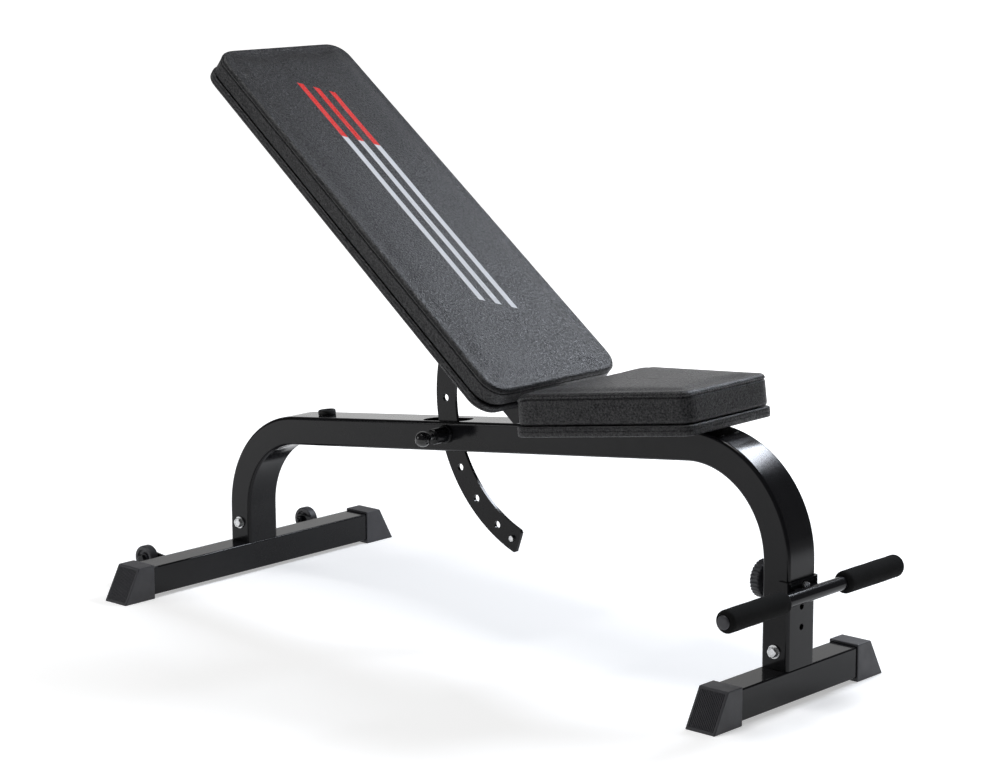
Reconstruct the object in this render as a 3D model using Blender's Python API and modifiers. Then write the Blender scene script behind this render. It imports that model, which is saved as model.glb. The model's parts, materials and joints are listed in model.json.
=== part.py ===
"""An adjustable weight bench: a bent rectangular tube on two crossbars, a fixed seat, a hinged
backrest locked by a sector plate and a pull pin, two transport wheels and a foot bar.

+X runs towards the foot bar, +Y to the far side, +Z up. The origin is on the floor under the
middle of the bench. All sizes are in metres.
"""

import math

import bmesh
import bpy
from mathutils import Matrix, Vector

GAP = 0.0003

# Main frame tube, bent into two legs and a sloping beam
REAR_LEG_X = -0.5127
LEG_SPACING = 1.050
FRONT_LEG_X = REAR_LEG_X + LEG_SPACING
TUBE_WIDTH = 0.060
TUBE_DEPTH = 0.044
TUBE_WALL = 0.002
TUBE_CORNER = 0.005
BEND_RADIUS = 0.140
BEAM_TILT = math.radians(6.46)
BEAM_TOP_AT_REAR_LEG = 0.2527

# Crossbars, the spigots on them and their end caps
BAR = 0.044
BAR_BOTTOM = 0.0055
BAR_TOP = BAR_BOTTOM + BAR
BAR_BEVEL = 0.002
SPIGOT_BEVEL = 0.003
REAR_BAR_HALF = 0.2515
FRONT_BAR_HALF = 0.1525
SPIGOT_CLEARANCE = 0.0004
SPIGOT_WALL = 0.0025
SPIGOT_TOP = 0.098
CAP_HEIGHT = 0.053
CAP_WIDTH = 0.0486
CAP_GRIP = 0.0235
CAP_TOP_LENGTH = 0.030
CAP_FOOT_LENGTH = 0.0597
CAP_BEVEL = 0.0015

# Bolts: shaft radius, head width across flats and head height
M5 = (0.0025, 0.008, 0.0035)
M6 = (0.003, 0.010, 0.004)
M8 = (0.004, 0.013, 0.0048)
M10 = (0.005, 0.017, 0.0064)
BOLT_CLEARANCE = 0.0003
LEG_BOLT_BEYOND = 0.014
HINGE_BOLT_BEYOND = 0.012
REAR_BOLT_Z = 0.080
FRONT_BOLT_Z = 0.074

# Backrest hinge, and the backrest's own frame: x runs from the pivot to the seat, z up
# through the pad
PIVOT_X = REAR_LEG_X + 0.657
PIVOT_Z = 0.3445
BACK_ANGLE = math.radians(38.1)
EAR_THICKNESS = 0.004
EAR_Y = 0.0272
EAR_RADIUS = 0.013
EAR_BASE = 0.021
ARM_THICKNESS = 0.004
ARM_Y = 0.0365
ARM_BOSS = 0.014
ARM_TOP_START = -0.029
ARM_TOP_END = -0.160
ARM_TIP_HEIGHT = 0.007
ARM_BELLY_START = -0.036
ARM_BELLY_END = -0.075
ARM_BELLY_Z = -0.058
ARM_FLANGE_X = (-0.155, -0.045)
ARM_FLANGE_Y = 0.070
ARM_SCREW_X = (-0.065, -0.135)
ARM_SCREW_Y = 0.056
HINGE_CLEARANCE = 0.0001
BACK_UNDERSIDE = -0.017
BACK_START = -0.0315
BACK_LENGTH = 0.725
BACK_HALF_LOW = 0.139
BACK_HALF_TOP = 0.131
BACK_CORNER = 0.032
BACK_PAD_TOP = 0.0273
BOARD_THICKNESS = 0.012
PAD_INSET = 0.0015
FLANGE = 0.003
SCREW_COVER = 0.002
STRAP_NEAR = -0.182
STRAP_FAR = -0.262
STRAP_HALF = 0.060
STRAP_SCREW_Y = 0.048
PAD_SOFTENING = 0.006

# Sector plate, with a hole for each position of the backrest
SECTOR_Y = -0.0195
SECTOR_THICKNESS = 0.005
SECTOR_INNER = 0.194
SECTOR_OUTER = 0.231
HOLE_CIRCLE = 0.2128
HOLE_RADIUS = 0.0055
HOLE_PITCH = math.radians(14.1)
HOLES_EACH_WAY = 3
PIN_ANGLE = math.radians(-164.0)
STOP_ANGLE = math.radians(-112.7)
SECTOR_END = math.radians(-109.3)
SECTOR_CORNER = 0.003
SECTOR_CORNER_TURN = math.radians(0.85)
SLOT_Y = -0.008
SLOT_WIDTH = 0.033
TOP_SLOT = (REAR_LEG_X + 0.391, REAR_LEG_X + 0.481)
BOTTOM_SLOT = (REAR_LEG_X + 0.428, REAR_LEG_X + 0.496)

# Pull pin on the near side of the beam, drawn with its nose just short of the sector plate
PIN_X = PIVOT_X + HOLE_CIRCLE * math.cos(PIN_ANGLE)
PIN_Z = PIVOT_Z + HOLE_CIRCLE * math.sin(PIN_ANGLE)
NOSE_RADIUS = 0.0050
NOSE_HOLE = 0.0054
NOSE_SHORT = 0.0005
PIN_SHAFT = 0.0040
COLLAR_RADIUS = 0.0072
COLLAR_LENGTH = 0.003
LOCK_TRAVEL = 0.0075
BARREL_RADIUS = 0.0115
BARREL_BORE = 0.0078
BARREL_CAVITY = 0.024
BARREL_END = 0.004
BARREL_FLANGE = 0.002
BARREL_FLANGE_LENGTH = 0.004
BARREL_EDGE = 0.001
SPRING_RADIUS = 0.0058
SPRING_WIRE = 0.0004
SPRING_TURNS = 4
SPRING_LENGTH = 0.0038
PIN_KNOB_Y = -0.0790
PIN_KNOB_RADIUS = 0.0115
PIN_KNOB_SOCKET = 0.5
PIN_KNOB_NECK = 0.0065

# Seat: x runs along the beam from here, z is square to it
SEAT_X = REAR_LEG_X + 0.7066
SEAT_BACK = -0.019
SEAT_FRONT = 0.249
SEAT_HALF_BACK = 0.146
SEAT_HALF_FRONT = 0.091
SEAT_CORNER = 0.014
SEAT_PLATE = 0.003
SEAT_PAD_TOP = 0.061
SEAT_PLATES_X = (0.045, 0.165)
SEAT_PLATE_LENGTH = 0.040
SEAT_PLATE_HALF = 0.058
SEAT_SCREW_Y = 0.045

# Rubber stop under the backrest
BUMPER_X = REAR_LEG_X + 0.172
BUMPER_RADIUS = 0.0135
BUMPER_HEIGHT = 0.008
BUMPER_EDGE = 0.003

# Transport wheels behind the rear crossbar
WHEEL_X = REAR_LEG_X - 0.061
WHEEL_Y = 0.171
WHEEL_Z = 0.039
WHEEL_RADIUS = 0.020
WHEEL_WIDTH = 0.015
WHEEL_BORE = 0.0042
WHEEL_ROUND = 0.0015
WHEEL_RIM = 0.0142
WHEEL_HUB = 0.0085
WHEEL_WEB = 0.003
FORK_THICKNESS = 0.003
FORK_RADIUS = 0.011
FORK_BELOW = -0.026
FORK_ABOVE = 0.006
WHEEL_PLAY = 0.001
AXLE_BEYOND = 0.009

# Foot bar, its saddle on the front leg and the knob behind the leg
LOCK_Z = 0.162
LOCK_PITCH = 0.028
LOCK_HOLES = 3
LOCK_HOLE_RADIUS = 0.0044
SADDLE_THICKNESS = 0.003
SADDLE_BOTTOM = 0.142
SADDLE_TOP = 0.172
SADDLE_WRAP = 0.015
FOOT_BAR_X = FRONT_LEG_X + 0.0405
FOOT_BAR_Z = 0.1562
FOOT_BAR_RADIUS = 0.0095
FOOT_BAR_WALL = 0.0015
FOOT_BAR_HALF = 0.192
GRIP_START = 0.065
GRIP_RADIUS = 0.016
GRIP_ROUND = 0.006
PLUG_FLANGE = 0.0095
PLUG_THICKNESS = 0.003
PLUG_DEPTH = 0.012
LUG_INNER = 0.0105
LUG_OUTER = 0.024
LUG_HALF_HEIGHT = 0.006
LUG_OVERLAP = 0.0015
WASHER_RADIUS = 0.012
WASHER_THICKNESS = 0.0015
KNOB_HUB = 0.011
KNOB_HUB_LENGTH = 0.008
KNOB_RADIUS = 0.0255
KNOB_RIB = 0.0009
KNOB_RIBS = 30
KNOB_THICKNESS = 0.015
CLAMP_LENGTH = 0.0740


def empty_scene():
    for obj in list(bpy.data.objects):
        bpy.data.objects.remove(obj)


def collection(name):
    made = bpy.data.collections.new(name)
    bpy.context.scene.collection.children.link(made)
    return made


def material(name, colour, roughness, metallic=0.0):
    made = bpy.data.materials.new(name)
    made.use_nodes = True
    shader = made.node_tree.nodes["Principled BSDF"]
    shader.inputs["Base Color"].default_value = (*colour, 1.0)
    shader.inputs["Roughness"].default_value = roughness
    shader.inputs["Metallic"].default_value = metallic
    return made


empty_scene()
PARTS = collection("weight_bench")
CUTTERS = collection("cutters")
CUTTERS.hide_render = True


def add(name, data, look, location, rotation, parent):
    """Links an object to the bench. With no look it is a helper that only shapes others."""
    obj = bpy.data.objects.new(name, data)
    (PARTS if look else CUTTERS).objects.link(obj)
    if look:
        data.materials.append(material(name, *look))
    else:
        obj.hide_render = True
        obj.display_type = "WIRE"
    obj.location = location
    obj.rotation_euler = rotation
    obj.parent = parent
    return obj


def add_mesh(name, bm, look, location, rotation=(0, 0, 0), parent=None, smooth=False):
    mesh = bpy.data.meshes.new(name)
    bm.to_mesh(mesh)
    bm.free()
    if smooth:
        mesh.shade_smooth()
        mesh.set_sharp_from_angle(angle=math.radians(35))
    return add(name, mesh, look, location, rotation, parent)


def axis_empty(name, location, rotation=(0, 0, 0)):
    obj = bpy.data.objects.new(name, None)
    PARTS.objects.link(obj)
    obj.location = location
    obj.rotation_euler = rotation
    return obj


def box(name, low, high, look=None, bevel=0.0, parent=None, rotation=(0, 0, 0), origin=(0, 0, 0)):
    """A box between two corners, measured from origin."""
    low, high = Vector(low), Vector(high)
    bm = bmesh.new()
    bmesh.ops.create_cube(bm, size=1.0)
    bmesh.ops.scale(bm, vec=high - low, verts=bm.verts)
    bmesh.ops.translate(bm, vec=(low + high) / 2, verts=bm.verts)
    obj = add_mesh(name, bm, look, origin, rotation, parent)
    if bevel:
        soften(obj, bevel)
    return obj


def soften(obj, width, segments=2):
    modifier = obj.modifiers.new("bevel", "BEVEL")
    modifier.width = width
    modifier.segments = segments
    modifier.limit_method = "ANGLE"


ALONG = {
    "x": (0, math.pi / 2, 0),
    "-x": (0, -math.pi / 2, 0),
    "y": (-math.pi / 2, 0, 0),
    "-y": (math.pi / 2, 0, 0),
    "z": (0, 0, 0),
    "-z": (math.pi, 0, 0),
}


def rod(name, radius, length, start, along, look=None, sides=16, parent=None):
    """A cylinder of this length, from start in a direction named in ALONG."""
    bm = bmesh.new()
    bmesh.ops.create_cone(
        bm, cap_ends=True, segments=sides, radius1=radius, radius2=radius, depth=length
    )
    bmesh.ops.translate(bm, vec=(0, 0, length / 2), verts=bm.verts)
    return add_mesh(name, bm, look, start, ALONG[along], parent, smooth=True)


def turned(name, profile, start, along, look, steps=24, parent=None, closed=False):
    """A (radius, height) profile turned about its axis. It runs down the outer side, and a
    closed one comes back up its bore."""
    bm = bmesh.new()
    points = [bm.verts.new((radius, 0, height)) for radius, height in profile]
    for first, second in zip(points, points[1:]):
        bm.edges.new((first, second))
    if closed:
        bm.edges.new((points[-1], points[0]))
    obj = add_mesh(name, bm, look, start, ALONG[along], parent)
    screw = obj.modifiers.new("turn", "SCREW")
    screw.steps = steps
    screw.render_steps = steps
    screw.use_merge_vertices = True
    screw.merge_threshold = 0.00001
    screw.use_smooth_shade = True
    return obj


def ring(name, outer, inner, length, start, along, look, steps=24, parent=None):
    profile = [(outer, length), (outer, 0), (inner, 0), (inner, length)]
    return turned(name, profile, start, along, look, steps, parent, closed=True)


def arc(centre, radius, start, end, count):
    """Points of an arc in a plane, from one angle to another, both ends included."""
    steps = [start + (end - start) * i / (count - 1) for i in range(count)]
    return [(centre[0] + radius * math.cos(a), centre[1] + radius * math.sin(a)) for a in steps]


def circle(centre, radius, count=16):
    return arc(centre, radius, 0, math.tau * (count - 1) / count, count)


def flat(name, outlines, thickness, look, location, rotation, parent=None):
    """A flat piece from closed outlines, the inner ones being holes, centred in its thickness."""
    curve = bpy.data.curves.new(name, "CURVE")
    curve.dimensions = "2D"
    curve.fill_mode = "BOTH"
    curve.extrude = thickness / 2
    for outline in outlines:
        spline = curve.splines.new("POLY")
        spline.points.add(len(outline) - 1)
        for point, (x, y) in zip(spline.points, outline):
            point.co = (x, y, 0, 1)
        spline.use_cyclic_u = True
    return add(name, curve, look, location, rotation, parent)


def as_mesh(obj):
    """The curve object as a mesh object of the same name, place and parent, with its caps welded."""
    bpy.context.view_layer.update()
    graph = bpy.context.evaluated_depsgraph_get()
    mesh = bpy.data.meshes.new_from_object(obj.evaluated_get(graph))
    bm = bmesh.new()
    bm.from_mesh(mesh)
    bmesh.ops.remove_doubles(bm, verts=bm.verts, dist=0.000001)
    bmesh.ops.recalc_face_normals(bm, faces=bm.faces)
    bm.to_mesh(mesh)
    bm.free()
    name, parent, matrix = obj.name, obj.parent, obj.matrix_basis.copy()
    group = obj.users_collection[0]
    hidden = obj.hide_render
    bpy.data.objects.remove(obj)
    made = bpy.data.objects.new(name, mesh)
    group.objects.link(made)
    made.hide_render = hidden
    made.display_type = "WIRE" if hidden else "TEXTURED"
    made.parent = parent
    made.matrix_basis = matrix
    return made


def combine(obj, other, operation):
    modifier = obj.modifiers.new(other.name, "BOOLEAN")
    modifier.operation = operation
    modifier.object = other
    return obj


def cut(obj, other):
    return combine(obj, other, "DIFFERENCE")


def join(obj, other):
    return combine(obj, other, "UNION")


def head_radius(across_flats):
    return across_flats / math.sqrt(3)


def bolt(name, size, start, along, length, look, parent=None):
    """A hexagon bolt: its shaft runs from start, and its head sits behind start."""
    radius, flats, height = size
    bm = bmesh.new()
    corner = head_radius(flats)
    bmesh.ops.create_cone(
        bm, cap_ends=True, segments=6, radius1=corner, radius2=corner, depth=height
    )
    bmesh.ops.translate(bm, vec=(0, 0, -height / 2), verts=bm.verts)
    obj = add_mesh(name, bm, look, start, ALONG[along], parent)
    shaft = rod(name + "_shaft", radius, length + height / 2, (0, 0, -height / 2), "z", parent=obj)
    return join(obj, shaft)


def nut(name, size, start, along, look, parent=None):
    radius, flats, height = size
    bore = circle((0, 0), radius + BOLT_CLEARANCE)
    outline = circle((0, 0), head_radius(flats), 6)
    length = height * 1.25
    direction = Matrix.Rotation(ALONG[along][1], 3, "Y") @ Matrix.Rotation(ALONG[along][0], 3, "X")
    centre = Vector(start) + direction @ Vector((0, 0, length / 2))
    return flat(name, [outline, bore], length, look, centre, ALONG[along], parent)


BLACK_STEEL = ((0.012, 0.012, 0.013), 0.25)
BLACK_PLASTIC = ((0.018, 0.018, 0.020), 0.55)
RUBBER = ((0.015, 0.015, 0.015), 0.8)
ZINC = ((0.55, 0.56, 0.58), 0.3, 1.0)
VINYL = ((0.020, 0.020, 0.022), 0.45)
PLYWOOD = ((0.03, 0.028, 0.026), 0.7)
FOAM = ((0.010, 0.010, 0.010), 0.9)

# --- Shapes that several pieces share -------------------------------------------------------

ON_XZ = (math.pi / 2, 0, 0)
ON_YZ = (math.pi / 2, 0, math.pi / 2)


def beam_top(x):
    return BEAM_TOP_AT_REAR_LEG + (x - REAR_LEG_X) * math.tan(BEAM_TILT)


def beam_centre(x):
    return beam_top(x) - TUBE_DEPTH / 2 / math.cos(BEAM_TILT)


def frame_path(extra):
    """The tube's centreline from the rear leg's foot to the front leg's, with both ends longer
    by extra."""
    square = math.pi / 2 + BEAM_TILT
    rear = REAR_LEG_X + BEND_RADIUS
    front = FRONT_LEG_X - BEND_RADIUS
    drop = BEND_RADIUS / math.cos(BEAM_TILT)
    rear_bend = arc((rear, beam_centre(rear) - drop), BEND_RADIUS, math.pi, square, 11)
    front_bend = arc((front, beam_centre(front) - drop), BEND_RADIUS, square, 0, 13)
    foot = BAR_TOP + GAP - extra
    return [(REAR_LEG_X, foot), *rear_bend, *front_bend, (FRONT_LEG_X, foot)]


def rounded_rectangle(width, height, radius, count=3):
    quarter = math.pi / 2
    points = []
    for turn, (sx, sy) in enumerate(((1, 1), (-1, 1), (-1, -1), (1, -1))):
        centre = (sx * (width / 2 - radius), sy * (height / 2 - radius))
        points += arc(centre, radius, turn * quarter, (turn + 1) * quarter, count)
    return points


def swept(name, path, profile, look):
    """A closed profile swept along a path in the XZ plane. The profile's height is across Y."""
    guide = line(name + "_profile", profile, None)
    guide.data.splines[0].use_cyclic_u = True
    tube = line(name, path, look)
    tube.data.fill_mode = "FULL"
    tube.data.twist_mode = "Z_UP"
    tube.data.bevel_mode = "OBJECT"
    tube.data.bevel_object = guide
    tube.data.use_fill_caps = True
    tube.rotation_euler = ON_XZ
    made = as_mesh(tube)
    bpy.data.objects.remove(guide)
    return made


def line(name, points, look):
    """A curve object through points of a plane."""
    curve = bpy.data.curves.new(name, "CURVE")
    curve.dimensions = "3D"
    spline = curve.splines.new("POLY")
    spline.points.add(len(points) - 1)
    for point, (x, y) in zip(spline.points, points):
        point.co = (x, y, 0, 1)
    return add(name, curve, look, (0, 0, 0), (0, 0, 0), None)


def tapered_outline(back, front, half_back, half_front, radius, count=6):
    """A rectangle in plan that narrows from back to front, with rounded corners."""
    corners = ((front, half_front), (back, half_back), (back, -half_back), (front, -half_front))
    points = []
    for i, corner in enumerate(corners):
        here = Vector(corner)
        before = (Vector(corners[i - 1]) - here).normalized()
        after = (Vector(corners[(i + 1) % 4]) - here).normalized()
        half_angle = before.angle(after) / 2
        centre = here + (before + after).normalized() * (radius / math.sin(half_angle))
        reach = radius / math.tan(half_angle)
        first = here + before * reach - centre
        last = here + after * reach - centre
        start = math.atan2(first.y, first.x)
        end = math.atan2(last.y, last.x)
        end += math.tau if end < start else 0
        points += arc(centre, radius, start, end, count)
    return points


def slot_cutter(name, span, depth_low, depth_high):
    """A rounded slot through one wall of the beam, square to it."""
    centre = (span[0] + span[1]) / 2
    half = (span[1] - span[0]) / 2
    radius = SLOT_WIDTH / 2
    right = arc((half - radius, 0), radius, -math.pi / 2, math.pi / 2, 9)
    left = arc((radius - half, 0), radius, math.pi / 2, 3 * math.pi / 2, 9)
    height = (depth_low + depth_high) / 2
    place = (
        centre - height * math.sin(BEAM_TILT),
        SLOT_Y,
        beam_top(centre) + height * math.cos(BEAM_TILT),
    )
    thickness = depth_high - depth_low
    return as_mesh(flat(name, [right + left], thickness, None, place, (0, -BEAM_TILT, 0)))


# --- Main frame -----------------------------------------------------------------------------


def make_main_tube():
    outer = rounded_rectangle(TUBE_DEPTH, TUBE_WIDTH, TUBE_CORNER)
    inner = rounded_rectangle(
        TUBE_DEPTH - 2 * TUBE_WALL, TUBE_WIDTH - 2 * TUBE_WALL, TUBE_CORNER - TUBE_WALL
    )
    tube = swept("main_tube", frame_path(0), outer, BLACK_STEEL)
    cut(tube, swept("tube_bore", frame_path(0.01), inner, None))
    cut(tube, slot_cutter("top_slot", TOP_SLOT, -TUBE_DEPTH / 2, 0.01))
    cut(tube, slot_cutter("bottom_slot", BOTTOM_SLOT, -TUBE_DEPTH - 0.01, -TUBE_DEPTH / 2))
    cut(tube, rod("pin_hole", NOSE_HOLE, 0.02, (PIN_X, -0.04, PIN_Z), "y"))
    for end, x, z in (("rear", REAR_LEG_X, REAR_BOLT_Z), ("front", FRONT_LEG_X, FRONT_BOLT_Z)):
        hole = M10[0] + BOLT_CLEARANCE
        cut(tube, rod(end + "_leg_hole", hole, 2 * TUBE_WIDTH, (x, -TUBE_WIDTH, z), "y"))
    for i in range(LOCK_HOLES):
        place = (FRONT_LEG_X - TUBE_WIDTH, 0, LOCK_Z - i * LOCK_PITCH)
        cut(tube, rod(f"lock_hole_{i}", LOCK_HOLE_RADIUS, 2 * TUBE_WIDTH, place, "x", sides=16))


def make_crossbar(end, x, half):
    bar = box(
        end + "_crossbar",
        (x - BAR / 2, -half, BAR_BOTTOM),
        (x + BAR / 2, half, BAR_TOP),
        BLACK_STEEL,
        bevel=BAR_BEVEL,
    )
    bore = BAR / 2 - TUBE_WALL
    middle = BAR_BOTTOM + BAR / 2
    hollow = box(
        end + "_bar_bore",
        (x - bore, -half - 0.01, middle - bore),
        (x + bore, half + 0.01, middle + bore),
    )
    cut(bar, hollow)


def make_spigot(end, x, bolt_z):
    half_x = TUBE_DEPTH / 2 - TUBE_WALL - SPIGOT_CLEARANCE
    half_y = TUBE_WIDTH / 2 - TUBE_WALL - SPIGOT_CLEARANCE
    bottom = BAR_TOP + GAP
    spigot = box(
        end + "_spigot",
        (x - half_x, -half_y, bottom),
        (x + half_x, half_y, SPIGOT_TOP),
        BLACK_STEEL,
        bevel=SPIGOT_BEVEL,
    )
    wall = SPIGOT_WALL
    hollow = box(
        end + "_spigot_bore",
        (x - half_x + wall, -half_y + wall, bottom - 0.01),
        (x + half_x - wall, half_y - wall, SPIGOT_TOP + 0.01),
    )
    cut(spigot, hollow)
    hole = M10[0] + BOLT_CLEARANCE
    cut(spigot, rod(end + "_spigot_hole", hole, 2 * TUBE_WIDTH, (x, -TUBE_WIDTH, bolt_z), "y"))


def make_leg_bolt(end, x, z):
    face = TUBE_WIDTH / 2 + GAP
    length = 2 * face + LEG_BOLT_BEYOND
    bolt(end + "_leg_bolt", M10, (x, -face, z), "y", length, ZINC)
    nut(end + "_leg_nut", M10, (x, face, z), "y", ZINC)


def make_cap(name, x, half_bar, side):
    """A plastic foot on a crossbar's end: an upright inner face, a slanting outer one."""
    start = half_bar - CAP_GRIP
    outline = [
        (start, 0),
        (start + CAP_FOOT_LENGTH, 0),
        (start + CAP_TOP_LENGTH, CAP_HEIGHT),
        (start, CAP_HEIGHT),
    ]
    outline = [(side * y, z) for y, z in outline]
    cap = as_mesh(flat(name, [outline], CAP_WIDTH, BLACK_PLASTIC, (x, 0, 0), ON_YZ))
    soften(cap, CAP_BEVEL)
    socket = BAR / 2 + GAP
    middle = BAR_BOTTOM + BAR / 2
    ends = sorted((side * (start - 0.01), side * (half_bar + GAP)))
    hollow = box(
        name + "_socket",
        (x - socket, ends[0], middle - socket),
        (x + socket, ends[1], middle + socket),
    )
    cut(cap, hollow)


def make_bumper():
    tilt = Vector((-math.sin(BEAM_TILT), 0, math.cos(BEAM_TILT)))
    place = Vector((BUMPER_X, 0, beam_top(BUMPER_X))) + tilt * GAP
    top, radius = BUMPER_HEIGHT, BUMPER_RADIUS
    edge = BUMPER_EDGE
    profile = [(0, top), (radius - edge, top), (radius - edge / 3, top - edge / 3)]
    profile += [(radius, top - edge), (radius, 0), (0, 0)]
    bumper = turned("rubber_bumper", profile, place, "z", RUBBER, steps=20)
    bumper.rotation_euler = (0, -BEAM_TILT, 0)


def make_hinge_ears():
    slope = math.tan(BEAM_TILT)
    rise = GAP / math.cos(BEAM_TILT)
    foot = beam_top(PIVOT_X) + rise - PIVOT_Z
    top = arc((0, 0), EAR_RADIUS, 0, math.pi, 13)
    near_end = (-EAR_BASE, foot - EAR_BASE * slope)
    far_end = (EAR_BASE, foot + EAR_BASE * slope)
    outline = [near_end, far_end, *top]
    bore = circle((0, 0), M10[0] + BOLT_CLEARANCE)
    for side, name in ((-1, "near"), (1, "far")):
        place = (PIVOT_X, side * EAR_Y, PIVOT_Z)
        flat(f"hinge_ear_{name}", [outline, bore], EAR_THICKNESS, BLACK_STEEL, place, ON_XZ)


def make_hinge_bolt():
    outer = ARM_Y + ARM_THICKNESS / 2 + GAP
    length = 2 * outer + HINGE_BOLT_BEYOND
    bolt("hinge_bolt", M10, (PIVOT_X, -outer, PIVOT_Z), "y", length, ZINC)
    nut("hinge_nut", M10, (PIVOT_X, outer, PIVOT_Z), "y", ZINC)


# --- Seat -----------------------------------------------------------------------------------


def screw(name, parent, x, y, face, boards):
    """A wood screw up through a steel plate whose lower face is at this height, into a board."""
    radius = M6[0]
    tip = BOARD_THICKNESS - SCREW_COVER + FLANGE
    made = bolt(name, M6, (x, y, face - GAP), "z", tip, ZINC, parent)
    reach = tip + 0.001
    for board in boards:
        start = (x, y, face - 0.002)
        bore = radius + BOLT_CLEARANCE
        hole = rod(f"{name}_in_{board.name}", bore, reach + 0.002, start, "z", sides=12)
        hole.parent = parent
        cut(board, hole)
    return made


def make_seat():
    place = (SEAT_X, 0, beam_top(SEAT_X))
    frame = axis_empty("seat_frame", place, (0, -BEAM_TILT, 0))
    low = GAP + SEAT_PLATE + GAP
    outline = tapered_outline(SEAT_BACK, SEAT_FRONT, SEAT_HALF_BACK, SEAT_HALF_FRONT, SEAT_CORNER)
    middle = low + BOARD_THICKNESS / 2
    board = flat("seat_board", [outline], BOARD_THICKNESS, PLYWOOD, (0, 0, middle), (0, 0, 0), frame)
    board = as_mesh(board)
    plates = []
    for i, x in enumerate(SEAT_PLATES_X):
        half = SEAT_PLATE_LENGTH / 2
        corner = (x - half, -SEAT_PLATE_HALF, GAP)
        other = (x + half, SEAT_PLATE_HALF, GAP + SEAT_PLATE)
        name = f"seat_plate_{('rear', 'front')[i]}"
        plates.append(box(name, corner, other, BLACK_STEEL, parent=frame))
    for i, (plate, x) in enumerate(zip(plates, SEAT_PLATES_X)):
        for side, y in (("near", -SEAT_SCREW_Y), ("far", SEAT_SCREW_Y)):
            name = f"seat_screw_{('rear', 'front')[i]}_{side}"
            screw(name, frame, x, y, GAP, (plate, board))
    inset = PAD_INSET
    outline = tapered_outline(
        SEAT_BACK + inset,
        SEAT_FRONT - inset,
        SEAT_HALF_BACK - inset,
        SEAT_HALF_FRONT - inset,
        SEAT_CORNER,
    )
    bottom = low + BOARD_THICKNESS + GAP
    middle = (bottom + SEAT_PAD_TOP) / 2
    thickness = SEAT_PAD_TOP - bottom
    pad = as_mesh(
        flat("seat_pad", [outline], thickness, VINYL, (0, 0, middle), (0, 0, 0), frame)
    )
    soften(pad, PAD_SOFTENING)


# --- Backrest -------------------------------------------------------------------------------


def make_arm(name, side, frame):
    """An upright steel plate from the hinge to the board's underside, with a flange for screws."""
    top = BACK_UNDERSIDE - GAP
    boss = arc((0, 0), ARM_BOSS, math.radians(-100), math.radians(150), 15)
    outline = [
        *boss,
        (ARM_TOP_START, top),
        (ARM_TOP_END, top),
        (ARM_TOP_END, top - ARM_TIP_HEIGHT),
        (ARM_BELLY_END, ARM_BELLY_Z),
        (ARM_BELLY_START, ARM_BELLY_Z),
    ]
    bore = circle((0, 0), M10[0] + HINGE_CLEARANCE, 24)
    place = (0, side * ARM_Y, 0)
    look = BLACK_STEEL
    arm = as_mesh(flat(name, [outline, bore], ARM_THICKNESS, look, place, ON_XZ, frame))
    inner = ARM_Y - ARM_THICKNESS / 2 + 0.0005
    ends = sorted((side * inner, side * ARM_FLANGE_Y))
    low = (ARM_FLANGE_X[0], ends[0], top - FLANGE)
    high = (ARM_FLANGE_X[1], ends[1], top)
    flange = box(name + "_flange", low, high, parent=frame)
    return join(arm, flange)


def make_sector(frame):
    """A curved plate about the hinge, with one hole for each position."""
    turn = BACK_ANGLE
    lid = BACK_UNDERSIDE - 2 * GAP - FLANGE
    outer_start = -math.pi + math.asin(-lid / SECTOR_OUTER)
    inner_start = -math.pi + math.asin(-lid / SECTOR_INNER)
    end = SECTOR_END + turn
    outer = arc((0, 0), SECTOR_OUTER, outer_start, end - SECTOR_CORNER_TURN, 27)
    corner = [
        (SECTOR_OUTER - SECTOR_CORNER) * Vector((math.cos(end), math.sin(end))),
        (SECTOR_INNER + SECTOR_CORNER) * Vector((math.cos(end), math.sin(end))),
    ]
    inner = arc((0, 0), SECTOR_INNER, end - SECTOR_CORNER_TURN, inner_start, 25)
    outlines = [outer + [tuple(point) for point in corner] + inner]
    for step in range(-HOLES_EACH_WAY, HOLES_EACH_WAY + 1):
        angle = PIN_ANGLE + turn + step * HOLE_PITCH
        centre = (HOLE_CIRCLE * math.cos(angle), HOLE_CIRCLE * math.sin(angle))
        outlines.append(circle(centre, HOLE_RADIUS, 16))
    angle = STOP_ANGLE + turn
    x, z = HOLE_CIRCLE * math.cos(angle), HOLE_CIRCLE * math.sin(angle)
    outlines.append(circle((x, z), M5[0] + BOLT_CLEARANCE, 12))
    place = (0, SECTOR_Y, 0)
    flat("sector_plate", outlines, SECTOR_THICKNESS, BLACK_STEEL, place, ON_XZ, frame)
    half = SECTOR_THICKNESS / 2 + GAP
    start = (x, SECTOR_Y - half, z)
    bolt("stop_bolt", M5, start, "y", 2 * half + 0.002, ZINC, frame)


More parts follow.
